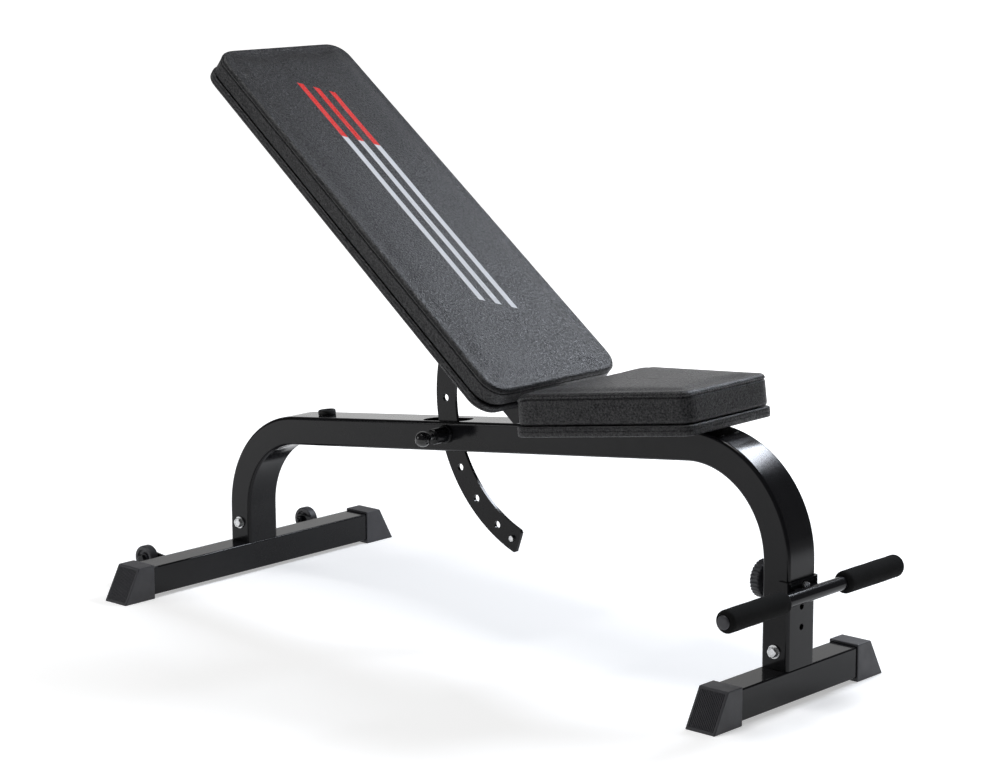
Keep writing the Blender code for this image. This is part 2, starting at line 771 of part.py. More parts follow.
def make_backrest():
    frame = axis_empty("backrest_axis", (PIVOT_X, 0, PIVOT_Z), (0, BACK_ANGLE, 0))
    far_end = BACK_START - BACK_LENGTH
    outline = tapered_outline(far_end, BACK_START, BACK_HALF_TOP, BACK_HALF_LOW, BACK_CORNER, 8)
    middle = BACK_UNDERSIDE + BOARD_THICKNESS / 2
    place = (0, 0, middle)
    board = as_mesh(
        flat("backrest_board", [outline], BOARD_THICKNESS, PLYWOOD, place, (0, 0, 0), frame)
    )
    face = BACK_UNDERSIDE - GAP
    strap = box(
        "backrest_strap",
        (STRAP_FAR, -STRAP_HALF, face - FLANGE),
        (STRAP_NEAR, STRAP_HALF, face),
        BLACK_STEEL,
        parent=frame,
    )
    for side, label in ((-1, "near"), (1, "far")):
        arm = make_arm(f"backrest_arm_{label}", side, frame)
        for i, x in enumerate(ARM_SCREW_X):
            y = side * ARM_SCREW_Y
            screw(f"arm_screw_{label}_{i + 1}", frame, x, y, face - FLANGE, (arm, board))
        middle_x = (STRAP_NEAR + STRAP_FAR) / 2
        y = side * STRAP_SCREW_Y
        screw(f"strap_screw_{label}", frame, middle_x, y, face - FLANGE, (strap, board))
    make_sector(frame)
    inset = PAD_INSET
    outline = tapered_outline(
        far_end + inset,
        BACK_START - inset,
        BACK_HALF_TOP - inset,
        BACK_HALF_LOW - inset,
        BACK_CORNER,
        8,
    )
    bottom = BACK_UNDERSIDE + BOARD_THICKNESS + GAP
    middle = (bottom + BACK_PAD_TOP) / 2
    pad = flat(
        "backrest_pad",
        [outline],
        BACK_PAD_TOP - bottom,
        VINYL,
        (0, 0, middle),
        (0, 0, 0),
        frame,
    )
    soften(as_mesh(pad), PAD_SOFTENING)


# --- Pull pin -------------------------------------------------------------------------------


def make_pin_barrel():
    face = -TUBE_WIDTH / 2 - GAP
    length = BARREL_CAVITY + BARREL_END
    neck = PIN_SHAFT + BOLT_CLEARANCE
    profile = [
        (BARREL_RADIUS - BARREL_EDGE, length),
        (BARREL_RADIUS, length - BARREL_EDGE),
        (BARREL_RADIUS, BARREL_FLANGE_LENGTH),
        (BARREL_RADIUS + BARREL_FLANGE, BARREL_FLANGE_LENGTH),
        (BARREL_RADIUS + BARREL_FLANGE, 0),
        (BARREL_BORE, 0),
        (BARREL_BORE, BARREL_CAVITY),
        (neck, BARREL_CAVITY),
        (neck, length),
    ]
    place = (PIN_X, face, PIN_Z)
    turned("pin_barrel", profile, place, "-y", BLACK_STEEL, 20, closed=True)


def make_pin_spring():
    """The coil as it is when the pin is pulled right out, against the barrel's end."""
    end = -TUBE_WIDTH / 2 - GAP - BARREL_CAVITY + GAP + SPRING_WIRE
    curve = bpy.data.curves.new("pin_spring", "CURVE")
    curve.dimensions = "3D"
    curve.bevel_depth = SPRING_WIRE
    curve.bevel_resolution = 0
    curve.use_fill_caps = True
    count = SPRING_TURNS * 10 + 1
    spline = curve.splines.new("POLY")
    spline.points.add(count - 1)
    for i, point in enumerate(spline.points):
        angle = math.tau * SPRING_TURNS * i / (count - 1)
        y = SPRING_LENGTH * i / (count - 1)
        x, z = SPRING_RADIUS * math.cos(angle), SPRING_RADIUS * math.sin(angle)
        point.co = (x, y, z, 1)
    add("pin_spring", curve, ZINC, (PIN_X, end, PIN_Z), (0, 0, 0), None)


def make_pin():
    """The plunger: a nose for the sector plate, a collar the spring pushes on, and a shaft."""
    frame = axis_empty("pull_pin_axis", (PIN_X, 0, PIN_Z))
    near_face = SECTOR_Y - SECTOR_THICKNESS / 2
    tip = near_face - NOSE_SHORT
    collar_front = -TUBE_WIDTH / 2 - 2 * GAP - LOCK_TRAVEL
    collar_back = collar_front - COLLAR_LENGTH
    shaft_end = PIN_KNOB_Y + PIN_KNOB_RADIUS * PIN_KNOB_SOCKET
    profile = [
        (0, -tip),
        (NOSE_RADIUS - 0.0008, -tip),
        (NOSE_RADIUS, -tip + 0.0012),
        (NOSE_RADIUS, -collar_front),
        (COLLAR_RADIUS, -collar_front),
        (COLLAR_RADIUS, -collar_back),
        (PIN_SHAFT, -collar_back),
        (PIN_SHAFT, -shaft_end),
        (0, -shaft_end),
    ]
    turned("pin_plunger", profile[::-1], (0, 0, 0), "-y", ZINC, steps=20, parent=frame)
    radius = PIN_KNOB_RADIUS
    neck = PIN_KNOB_NECK
    socket = PIN_SHAFT + BOLT_CLEARANCE
    ball = [(radius * math.sin(a), radius * math.cos(a)) for a in spread(0, math.radians(140), 8)]
    floor = GAP - radius * PIN_KNOB_SOCKET
    collar = [(neck, -radius), (socket, -radius), (socket, floor), (0, floor)]
    place = (0, PIN_KNOB_Y, 0)
    turned("pin_knob", ball + collar, place, "-y", BLACK_PLASTIC, steps=20, parent=frame)


def spread(start, end, count):
    return [start + (end - start) * i / (count - 1) for i in range(count)]


# --- Wheels ---------------------------------------------------------------------------------


def make_wheel(label, side):
    frame = axis_empty(f"wheel_{label}_axis", (WHEEL_X, side * WHEEL_Y, WHEEL_Z))
    half, radius = WHEEL_WIDTH / 2, WHEEL_RADIUS
    profile = [
        (radius - WHEEL_ROUND, half),
        (radius, half - WHEEL_ROUND),
        (radius, WHEEL_ROUND - half),
        (radius - WHEEL_ROUND, -half),
        (WHEEL_RIM, -half),
        (WHEEL_RIM, WHEEL_WEB - half),
        (WHEEL_HUB, WHEEL_WEB - half),
        (WHEEL_HUB, -half),
        (WHEEL_BORE, -half),
        (WHEEL_BORE, half),
        (WHEEL_HUB, half),
        (WHEEL_HUB, half - WHEEL_WEB),
        (WHEEL_RIM, half - WHEEL_WEB),
        (WHEEL_RIM, half),
    ]
    name = f"wheel_{label}"
    turned(name, profile, (0, 0, 0), "y", BLACK_PLASTIC, 24, frame, closed=True)


def make_wheel_mount(label, side):
    """A plate on the back of the rear crossbar, inboard of the wheel, and the axle bolt."""
    weld = REAR_LEG_X - BAR / 2 - GAP - WHEEL_X
    tail = arc((0, 0), FORK_RADIUS, math.radians(110), math.radians(250), 13)
    outline = [(weld, FORK_BELOW), (weld, FORK_ABOVE), *tail]
    bore = circle((0, 0), M8[0] + BOLT_CLEARANCE)
    inner = WHEEL_Y - WHEEL_WIDTH / 2 - WHEEL_PLAY
    place = (WHEEL_X, side * (inner - FORK_THICKNESS / 2), WHEEL_Z)
    flat(
        f"wheel_bracket_{label}", [outline, bore], FORK_THICKNESS, BLACK_STEEL, place, ON_XZ
    )
    outer = WHEEL_Y + WHEEL_WIDTH / 2 + WHEEL_PLAY
    inward = "y" if side < 0 else "-y"
    back = inner - FORK_THICKNESS - GAP
    length = outer - back + AXLE_BEYOND
    start = (WHEEL_X, side * outer, WHEEL_Z)
    shaft = (WHEEL_BORE - HINGE_CLEARANCE, *M8[1:])
    bolt(f"wheel_axle_{label}", shaft, start, inward, length, ZINC)
    nut(f"wheel_nut_{label}", M8, (WHEEL_X, side * back, WHEEL_Z), inward, ZINC)


# --- Foot bar -------------------------------------------------------------------------------


def make_saddle(frame):
    """A U-shaped plate round the front of the leg, with a lug each side of the bolt's head."""
    leg_face = FRONT_LEG_X + TUBE_DEPTH / 2
    half = TUBE_WIDTH / 2 + GAP + SADDLE_THICKNESS
    front = leg_face + GAP + SADDLE_THICKNESS
    saddle = box(
        "foot_bar_saddle",
        (leg_face - SADDLE_WRAP, -half, SADDLE_BOTTOM - LOCK_Z),
        (front, half, SADDLE_TOP - LOCK_Z),
        BLACK_STEEL,
        parent=frame,
    )
    inside = half - SADDLE_THICKNESS
    channel = box(
        "saddle_channel",
        (leg_face - SADDLE_WRAP - 0.01, -inside, -0.05),
        (leg_face + GAP, inside, 0.05),
        parent=frame,
    )
    cut(saddle, channel)
    tube_back = FOOT_BAR_X - FOOT_BAR_RADIUS
    height = FOOT_BAR_Z - LOCK_Z
    for side in (-1, 1):
        ends = sorted((side * LUG_INNER, side * LUG_OUTER))
        lug = box(
            f"saddle_lug_{side}",
            (front - LUG_OVERLAP, ends[0], height - LUG_HALF_HEIGHT),
            (tube_back - GAP, ends[1], height + LUG_HALF_HEIGHT),
            parent=frame,
        )
        join(saddle, lug)
    hole = rod("saddle_hole", M8[0] + BOLT_CLEARANCE, 0.03, (leg_face - 0.01, 0, 0), "x")
    hole.parent = frame
    cut(saddle, hole)
    head = (front + GAP, 0, 0)
    bolt("clamp_bolt", M8, head, "-x", CLAMP_LENGTH, ZINC, frame)


def make_foot_bar():
    frame = axis_empty("foot_bar_axis", (0, 0, LOCK_Z))
    make_saddle(frame)
    z = FOOT_BAR_Z - LOCK_Z
    bore = FOOT_BAR_RADIUS - FOOT_BAR_WALL
    start = (FOOT_BAR_X, -FOOT_BAR_HALF, z)
    ring("foot_bar_tube", FOOT_BAR_RADIUS, bore, 2 * FOOT_BAR_HALF, start, "y", BLACK_STEEL, 24, frame)
    for side, label in ((-1, "near"), (1, "far")):
        outward = "-y" if side < 0 else "y"
        inner = FOOT_BAR_RADIUS + GAP
        length = FOOT_BAR_HALF - GRIP_START
        profile = rounded_ring(GRIP_RADIUS, inner, length, GRIP_ROUND)
        place = (FOOT_BAR_X, side * GRIP_START, z)
        turned(f"foam_grip_{label}", profile, place, outward, FOAM, 24, frame, closed=True)
        plug = [
            (0, PLUG_THICKNESS),
            (PLUG_FLANGE - 0.001, PLUG_THICKNESS),
            (PLUG_FLANGE, PLUG_THICKNESS - 0.001),
            (PLUG_FLANGE, 0),
            (bore - GAP, 0),
            (bore - GAP, -PLUG_DEPTH),
            (0, -PLUG_DEPTH),
        ]
        place = (FOOT_BAR_X, side * (FOOT_BAR_HALF + GAP), z)
        turned(f"foot_bar_plug_{label}", plug, place, outward, BLACK_PLASTIC, 20, frame)


def rounded_ring(outer, inner, length, radius):
    top = [
        (outer - radius + radius * math.sin(a), length - radius + radius * math.cos(a))
        for a in spread(0, math.pi / 2, 4)
    ]
    low = [(r, length - z) for r, z in reversed(top)]
    return top + low + [(inner, 0), (inner, length)]


def make_lock_knob():
    """A ribbed hand knob behind the front leg, on the end of the clamp bolt, with its washer."""
    leg_back = FRONT_LEG_X - TUBE_DEPTH / 2
    washer_back = leg_back - GAP - WASHER_THICKNESS
    bore = M8[0] + BOLT_CLEARANCE
    washer_axis = axis_empty("knob_travel_axis", (washer_back, 0, LOCK_Z))
    ring("knob_washer", WASHER_RADIUS, bore, WASHER_THICKNESS, (0, 0, 0), "x", ZINC, 20, washer_axis)
    knob_axis = axis_empty("lock_knob_axis", (washer_back - GAP, 0, LOCK_Z))
    points = KNOB_RIBS * 4
    outline = []
    for i in range(points):
        angle = math.tau * i / points
        radius = KNOB_RADIUS + KNOB_RIB * math.cos(angle * KNOB_RIBS)
        outline.append((radius * math.cos(angle), radius * math.sin(angle)))
    middle = -KNOB_HUB_LENGTH - KNOB_THICKNESS / 2
    rim = flat(
        "lock_knob",
        [outline, circle((0, 0), bore)],
        KNOB_THICKNESS,
        BLACK_PLASTIC,
        (middle, 0, 0),
        ALONG["x"],
        knob_axis,
    )
    rim = as_mesh(rim)
    start = (-KNOB_HUB_LENGTH - 0.001, 0, 0)
    hub = ring("knob_hub", KNOB_HUB, bore, KNOB_HUB_LENGTH + 0.001, start, "x", None, 20, knob_axis)
    join(rim, hub)


make_main_tube()
make_crossbar("rear", REAR_LEG_X, REAR_BAR_HALF)
make_crossbar("front", FRONT_LEG_X, FRONT_BAR_HALF)
make_spigot("rear", REAR_LEG_X, REAR_BOLT_Z)
make_spigot("front", FRONT_LEG_X, FRONT_BOLT_Z)
make_leg_bolt("rear", REAR_LEG_X, REAR_BOLT_Z)
make_leg_bolt("front", FRONT_LEG_X, FRONT_BOLT_Z)
for near_or_far, side_sign in (("near", -1), ("far", 1)):
    make_cap(f"rear_cap_{near_or_far}", REAR_LEG_X, REAR_BAR_HALF, side_sign)
    make_cap(f"front_cap_{near_or_far}", FRONT_LEG_X, FRONT_BAR_HALF, side_sign)
    make_wheel(near_or_far, side_sign)
    make_wheel_mount(near_or_far, side_sign)
make_bumper()
make_hinge_ears()
make_hinge_bolt()
make_seat()
make_backrest()
make_pin_barrel()
make_pin_spring()
make_pin()
make_foot_bar()
make_lock_knob()
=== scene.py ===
"""The looks of the weight bench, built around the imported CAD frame.

Everything is in metres in the frame's own axes: +X along the bench towards the foot bar, +Y to
the far side, +Z up. Pieces are modelled in a body's own frame and then put in place, so that an
object's origin is always the frame's origin.
"""

import json
import math

import bmesh
import bpy
from mathutils import Matrix, Vector, noise
from mathutils.kdtree import KDTree

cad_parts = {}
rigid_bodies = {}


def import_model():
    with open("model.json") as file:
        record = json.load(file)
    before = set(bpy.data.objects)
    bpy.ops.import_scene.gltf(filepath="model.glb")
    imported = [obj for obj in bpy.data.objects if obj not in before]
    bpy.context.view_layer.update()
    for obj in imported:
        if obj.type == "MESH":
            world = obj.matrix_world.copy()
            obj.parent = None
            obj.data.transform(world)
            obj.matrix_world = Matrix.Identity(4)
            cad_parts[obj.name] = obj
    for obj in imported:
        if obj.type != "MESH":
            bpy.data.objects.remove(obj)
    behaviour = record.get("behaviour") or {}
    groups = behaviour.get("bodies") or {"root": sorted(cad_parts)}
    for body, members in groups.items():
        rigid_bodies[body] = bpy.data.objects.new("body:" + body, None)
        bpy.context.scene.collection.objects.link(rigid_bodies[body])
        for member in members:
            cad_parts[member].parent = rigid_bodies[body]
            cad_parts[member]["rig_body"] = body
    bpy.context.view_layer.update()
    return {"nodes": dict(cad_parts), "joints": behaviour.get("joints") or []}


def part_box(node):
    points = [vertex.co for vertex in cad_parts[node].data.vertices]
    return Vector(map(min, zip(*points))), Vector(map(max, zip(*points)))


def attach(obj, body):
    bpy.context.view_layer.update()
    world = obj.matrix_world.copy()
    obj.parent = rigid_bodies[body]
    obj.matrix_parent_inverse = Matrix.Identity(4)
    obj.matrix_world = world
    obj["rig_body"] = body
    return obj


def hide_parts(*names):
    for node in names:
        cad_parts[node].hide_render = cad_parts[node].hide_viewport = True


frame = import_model()
NODES = frame["nodes"]
JOINTS = {joint["name"]: joint for joint in frame["joints"]}

# Camera
CAMERA_AZIMUTH = 42.51
CAMERA_ELEVATION = 11.03
CAMERA_ROLL = -0.25
CAMERA_TARGET = (0.0212, -0.0024, 0.3544)
CAMERA_DISTANCE = 3.9
CAMERA_LENS = 97.55

# Main frame
TUBE_WIDTH = 0.060
TUBE_DEPTH = 0.044
TUBE_WALL = 0.002
TUBE_CORNER = 0.005
BEND_RADIUS = 0.140
BEAM_TILT = math.radians(6.46)
BAR_CORNER = 0.0025
BORE_CORNER = 0.001

BACK_ANGLE = math.radians(38.1)

# The frames that pieces are modelled in: the backrest's at its hinge, and the beam's slope
HINGE = Vector(JOINTS["backrest_tilt"]["pos_m"])
UNMOVED = Matrix.Identity(4)
IN_BACKREST = Matrix.Translation(HINGE) @ Matrix.Rotation(BACK_ANGLE, 4, "Y")
ALONG_BEAM = Matrix.Rotation(-BEAM_TILT, 4, "Y")
ON_XZ = Matrix.Rotation(math.pi / 2, 4, "X")
SIDES = (("near", -1), ("far", 1))


def extent(node, matrix=UNMOVED):
    """The lowest and highest corner of a CAD node, measured along the axes of matrix."""
    back = matrix.inverted()
    points = [back @ vertex.co for vertex in NODES[node].data.vertices]
    low = Vector(min(p[i] for p in points) for i in range(3))
    high = Vector(max(p[i] for p in points) for i in range(3))
    return low, high


def middle(node, matrix=UNMOVED):
    low, high = extent(node, matrix)
    return (low + high) / 2


# --- Materials ------------------------------------------------------------------------------


class Nodes:
    """Helpers that add procedural nodes in front of a material's or a world's shader."""

    def __init__(self, owner, shader, space):
        owner.use_nodes = True
        self.tree = owner.node_tree
        self.shader = self.tree.nodes[shader]
        self.coordinates = self.node("ShaderNodeTexCoord").outputs[space]

    def set(self, socket, value):
        self.shader.inputs[socket].default_value = value

    def node(self, kind, **settings):
        made = self.tree.nodes.new(kind)
        for name, value in settings.items():
            setattr(made, name, value)
        return made

    def link(self, output, socket):
        self.tree.links.new(output, socket)

    def mapped(self, rotation, location):
        made = self.node("ShaderNodeMapping")
        made.inputs["Rotation"].default_value = rotation
        made.inputs["Location"].default_value = location
        self.link(self.coordinates, made.inputs["Vector"])
        return made.outputs["Vector"]

    def split(self, vector=None):
        """The X, Y and Z outputs of a vector."""
        made = self.node("ShaderNodeSeparateXYZ")
        self.link(vector or self.coordinates, made.inputs["Vector"])
        return made.outputs["X"], made.outputs["Y"], made.outputs["Z"]

    def noise(self, scale, detail=2.0, roughness=0.5):
        made = self.node("ShaderNodeTexNoise")
        made.inputs["Scale"].default_value = scale
        made.inputs["Detail"].default_value = detail
        made.inputs["Roughness"].default_value = roughness
        self.link(self.coordinates, made.inputs["Vector"])
        return made.outputs["Fac"]

    def cells(self, scale, feature="DISTANCE_TO_EDGE", vector=None):
        made = self.node("ShaderNodeTexVoronoi", feature=feature)
        made.inputs["Scale"].default_value = scale
        self.link(vector or self.coordinates, made.inputs["Vector"])
        return made.outputs["Distance"]

    def spread(self, value, low, high, to_low, to_high):
        made = self.node("ShaderNodeMapRange")
        for name, number in zip(
            ("From Min", "From Max", "To Min", "To Max"), (low, high, to_low, to_high)
        ):
            made.inputs[name].default_value = number
        self.link(value, made.inputs["Value"])
        return made.outputs["Result"]

    def math(self, operation, first, second):
        made = self.node("ShaderNodeMath", operation=operation)
        for value, socket in ((first, made.inputs[0]), (second, made.inputs[1])):
            if isinstance(value, (int, float)):
                socket.default_value = value
            else:
                self.link(value, socket)
        return made.outputs["Value"]

    def product(self, *values):
        made = values[0]
        for value in values[1:]:
            made = self.math("MULTIPLY", made, value)
        return made

    def vary(self, socket, value, low, high):
        self.link(self.spread(value, 0.3, 0.7, low, high), self.shader.inputs[socket])

    def blend(self, factor, first, second):
        """Two colours, or outputs that give them, mixed by a factor."""
        made = self.node("ShaderNodeMix", data_type="RGBA")
        self.link(factor, made.inputs["Factor"])
        for value, socket in ((first, made.inputs[6]), (second, made.inputs[7])):
            if isinstance(value, tuple):
                socket.default_value = (*value, 1.0)
            else:
                self.link(value, socket)
        return made.outputs[2]


class Look(Nodes):
    """A Principled material."""

    def __init__(self, name, colour, roughness, metallic=0.0, **sockets):
        self.material = bpy.data.materials.new(name)
        super().__init__(self.material, "Principled BSDF", "Object")
        self.set("Base Color", (*colour, 1.0))
        self.set("Roughness", roughness)
        self.set("Metallic", metallic)
        for socket, value in sockets.items():
            self.set(socket.replace("_", " "), value)
        self.colour = None
        self.normal = None

    def tint(self, value, first, second):
        """Makes a mix of two colours the base colour."""
        self.colour = self.blend(value, first, second)
        self.link(self.colour, self.shader.inputs["Base Color"])

    def bump(self, height, strength, depth):
        made = self.node("ShaderNodeBump")
        made.inputs["Strength"].default_value = strength
        made.inputs["Distance"].default_value = depth
        self.link(height, made.inputs["Height"])
        if self.normal:
            self.link(self.normal, made.inputs["Normal"])
        self.normal = made.outputs["Normal"]
        self.link(self.normal, self.shader.inputs["Normal"])


def powder_coat():
    """Black gloss powder coat with a slight orange peel and a little handling haze."""
    look = Look("black_powder_coat", (0.007, 0.007, 0.008), 0.2, Specular_IOR_Level=0.18)
    haze = look.noise(7.0, 4.0, 0.6)
    look.vary("Roughness", haze, 0.11, 0.18)
    look.tint(look.noise(40.0, 3.0), (0.005, 0.005, 0.006), (0.009, 0.009, 0.010))
    look.bump(look.noise(420.0, 1.0), 0.05, 0.0004)
    look.bump(look.noise(1500.0, 1.0), 0.04, 0.0002)
    return look.material


def zinc():
    """Bright zinc plate, with faint bluish clouds and fine turning marks."""
    look = Look("zinc_plate", (0.62, 0.63, 0.65), 0.28, 1.0)
    look.tint(look.noise(260.0, 4.0, 0.6), (0.50, 0.52, 0.56), (0.72, 0.71, 0.68))
    look.vary("Roughness", look.noise(900.0, 3.0), 0.2, 0.38)
    look.bump(look.noise(2600.0, 2.0), 0.12, 0.0002)
    return look.material


def moulded_plastic():
    """Black moulded polypropylene with a fine spark texture."""
    look = Look("moulded_plastic", (0.024, 0.024, 0.028), 0.5, Specular_IOR_Level=0.5)
    look.vary("Roughness", look.noise(60.0, 3.0), 0.44, 0.56)
    look.tint(look.noise(25.0, 4.0), (0.020, 0.020, 0.024), (0.034, 0.034, 0.040))
    look.bump(look.noise(1900.0, 3.0, 0.7), 0.28, 0.0003)
    return look.material


def gloss_plastic():
    """The polished ball of the pull pin."""
    look = Look("gloss_plastic", (0.010, 0.010, 0.011), 0.16)
    look.vary("Roughness", look.noise(120.0, 3.0), 0.12, 0.24)
    look.bump(look.noise(500.0, 1.0), 0.03, 0.0002)
    return look.material


def soft_rubber():
    look = Look("soft_rubber", (0.014, 0.014, 0.014), 0.75)
    look.vary("Roughness", look.noise(90.0, 4.0), 0.62, 0.85)
    look.bump(look.noise(1400.0, 3.0, 0.7), 0.35, 0.0003)
    return look.material


def cell_foam():
    """Closed-cell grip foam: a dull skin full of tiny pores."""
    look = Look("grip_foam", (0.004, 0.004, 0.004), 0.9, Specular_IOR_Level=0.12)
    pores = look.cells(1300.0, "F1")
    look.tint(look.noise(300.0, 4.0, 0.7), (0.003, 0.003, 0.003), (0.007, 0.007, 0.007))
    look.bump(pores, 0.5, 0.0005)
    look.bump(look.noise(500.0, 4.0, 0.7), 0.4, 0.0006)
    return look.material


LEATHER_DARK = (0.004, 0.004, 0.005)
LEATHER_LIGHT = (0.013, 0.013, 0.015)


def leather(name):
    """Black synthetic leather: pebbled grain of two sizes, over soft creases and clouds."""
    look = Look(name, LEATHER_DARK, 0.4)
    bent = look.node("ShaderNodeMix", data_type="VECTOR")
    bent.inputs["Factor"].default_value = 0.004
    swirl = look.node("ShaderNodeTexNoise")
    swirl.inputs["Scale"].default_value = 180.0
    look.link(look.coordinates, swirl.inputs["Vector"])
    look.link(look.coordinates, bent.inputs[4])
    look.link(swirl.outputs["Color"], bent.inputs[5])
    pebbles = look.cells(430.0, vector=bent.outputs[1])
    grain = look.spread(pebbles, 0.0, 0.3, 0.0, 1.0)
    fine = look.cells(1200.0, vector=bent.outputs[1])
    mottle = look.noise(330.0, 3.0, 0.6)
    look.tint(mottle, LEATHER_DARK, LEATHER_LIGHT)
    look.vary("Roughness", look.noise(300.0, 3.0, 0.7), 0.33, 0.46)
    look.vary("Specular IOR Level", look.noise(380.0, 2.0, 0.6), 0.10, 0.66)
    look.bump(look.noise(24.0, 3.0, 0.5), 0.08, 0.004)
    look.bump(mottle, 0.75, 0.0014)
    look.bump(grain, 0.40, 0.0006)
    look.bump(fine, 0.18, 0.0003)
    return look


# The printed stripes: where they start, change colour and end along the backrest from the hinge
PRINT_START = -0.655
PRINT_SPLIT = -0.535
PRINT_END = -0.185
STRIPE_PITCH = 0.024
STRIPE_WIDTH = 0.0095
PRINT_RED = (0.56, 0.006, 0.004)
PRINT_GREY = (0.52, 0.535, 0.56)


def printed_leather():
    """The backrest's leather, with three plain stripes printed down it: part red, part grey."""
    look = leather("printed_leather")
    place = IN_BACKREST.inverted()
    local = look.mapped(tuple(place.to_euler()), tuple(place.to_translation()))
    along, across, _ = look.split(local)
    slant = look.math("ADD", along, look.math("MULTIPLY", across, -0.5))
    from_line = look.math("PINGPONG", across, STRIPE_PITCH / 2)
    near_line = look.math("LESS_THAN", from_line, STRIPE_WIDTH / 2)
    reach = look.math("LESS_THAN", look.math("ABSOLUTE", across, 0), STRIPE_PITCH * 1.5)
    started = look.math("GREATER_THAN", slant, PRINT_START)
    unfinished = look.math("LESS_THAN", slant, PRINT_END)
    printed = look.product(near_line, reach, started, unfinished)
    worn = look.spread(look.noise(420.0, 4.0, 0.7), 0.28, 0.36, 0.55, 1.0)
    ink = look.blend(look.math("GREATER_THAN", slant, PRINT_SPLIT), PRINT_RED, PRINT_GREY)
    inked = look.blend(look.math("MULTIPLY", printed, worn), look.colour, ink)
    look.link(inked, look.shader.inputs["Base Color"])
    return look.material


def plain_leather():
    return leather("plain_leather").material


def dust_cloth():
    """The thin black felt that closes the pads' undersides."""
    look = Look("dust_cloth", (0.010, 0.010, 0.010), 0.95, Specular_IOR_Level=0.2)
    look.tint(look.noise(700.0, 5.0, 0.8), (0.007, 0.007, 0.007), (0.016, 0.016, 0.016))
    look.bump(look.noise(900.0, 4.0, 0.8), 0.5, 0.0005)
    return look.material


def thread():
    look = Look("black_thread", (0.02, 0.02, 0.022), 0.6)
    look.set("Sheen Weight", 0.3)
    look.tint(look.noise(2000.0, 2.0), (0.014, 0.014, 0.015), (0.035, 0.035, 0.037))
    look.bump(look.noise(4000.0, 2.0), 0.4, 0.0001)
    return look.material


STEEL = powder_coat()
ZINC = zinc()
PLASTIC = moulded_plastic()
GLOSS = gloss_plastic()
RUBBER = soft_rubber()
FOAM = cell_foam()
PRINTED = printed_leather()
LEATHER = plain_leather()
DUST = dust_cloth()
THREAD = thread()

# --- Mesh helpers ---------------------------------------------------------------------------


def body_of_node(node):
    return NODES[node]["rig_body"]


def finished(obj, look, body, replaces=()):
    """Gives a piece its material, its body and the CAD nodes that it stands for."""
    obj.data.materials.clear()
    obj.data.materials.append(look)
    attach(obj, body)
    if replaces:
        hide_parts(*replaces)
    return obj


def add_object(name, mesh):
    obj = bpy.data.objects.new(name, mesh)
    bpy.context.scene.collection.objects.link(obj)
    return obj


def smooth(mesh, angle=32.0):
    mesh.shade_smooth()
    mesh.set_sharp_from_angle(angle=math.radians(angle))


def from_bmesh(name, bm, matrix=UNMOVED, angle=32.0):
    mesh = bpy.data.meshes.new(name)
    bmesh.ops.recalc_face_normals(bm, faces=bm.faces)
    bm.to_mesh(mesh)
    bm.free()
    mesh.transform(matrix)
    smooth(mesh, angle)
    return add_object(name, mesh)


def piece(node, bm, look, matrix=UNMOVED, angle=32.0):
    """Makes the detailed piece that stands for a CAD node, from a bmesh."""
    obj = from_bmesh(f"{node}_piece", bm, matrix, angle)
    return finished(obj, look, body_of_node(node), [node])


def join_rings(bm, rings, closed=False):
    """Adds the faces through rings of points, all of the same count. One point alone is a tip."""
    made = [[bm.verts.new(point) for point in ring] for ring in rings]
    pairs = list(zip(made, made[1:]))
    if closed:
        pairs.append((made[-1], made[0]))
    for first, second in pairs:
        count = max(len(first), len(second))
        for i in range(count):
            j = (i + 1) % count
            corners = [first[i % len(first)], first[j % len(first)]]
            corners += [second[j % len(second)], second[i % len(second)]]
            corners = list(dict.fromkeys(corners))
            if len(corners) > 2:
                bm.faces.new(corners)
    return made


def loft(rings, closed=False, capped=True):
    """A bmesh through rings of points, with flat ends unless it is closed."""
    bm = bmesh.new()
    made = join_rings(bm, rings, closed)
    if capped and not closed:
        for ring in (made[0], made[-1]):
            if len(ring) > 2:
                bm.faces.new(ring)
    return bm


def add_block(bm, corners):
    """Adds a six-sided block from its eight corners: four round one end, then the other four."""
    made = [bm.verts.new(corner) for corner in corners]
    for face in ((0, 1, 2, 3), (7, 6, 5, 4), (0, 4, 5, 1), (1, 5, 6, 2), (2, 6, 7, 3), (3, 7, 4, 0)):
        bm.faces.new([made[i] for i in face])


def placed(start, direction):
    """A matrix that takes +Z to a direction and the origin to start."""
    turn = Vector((0, 0, 1)).rotation_difference(Vector(direction))
    return Matrix.Translation(start) @ turn.to_matrix().to_4x4()


def round_ring(radius, height, steps):
    angles = [math.tau * i / steps for i in range(steps)]
    return [(radius * math.cos(a), radius * math.sin(a), height) for a in angles]


def turned(profile, steps=64, closed=False):
    """A bmesh from (radius, height) points turned about Z. A radius of 0 is a tip."""
    rings = [round_ring(r, z, steps) if r else [(0, 0, z)] for r, z in profile]
    return loft(rings, closed=closed, capped=False)


def arc(centre, radius, start, end, count):
    steps = [start + (end - start) * i / (count - 1) for i in range(count)]
    return [(centre[0] + radius * math.cos(a), centre[1] + radius * math.sin(a)) for a in steps]


def circle(centre, radius, count=48):
    return arc(centre, radius, 0, math.tau * (count - 1) / count, count)


def as_mesh(obj):
    """The evaluated object as a plain mesh object of the same name."""
    bpy.context.view_layer.update()
    graph = bpy.context.evaluated_depsgraph_get()
    mesh = bpy.data.meshes.new_from_object(obj.evaluated_get(graph))
    name = obj.name
    bpy.data.objects.remove(obj)
    return add_object(name, mesh)


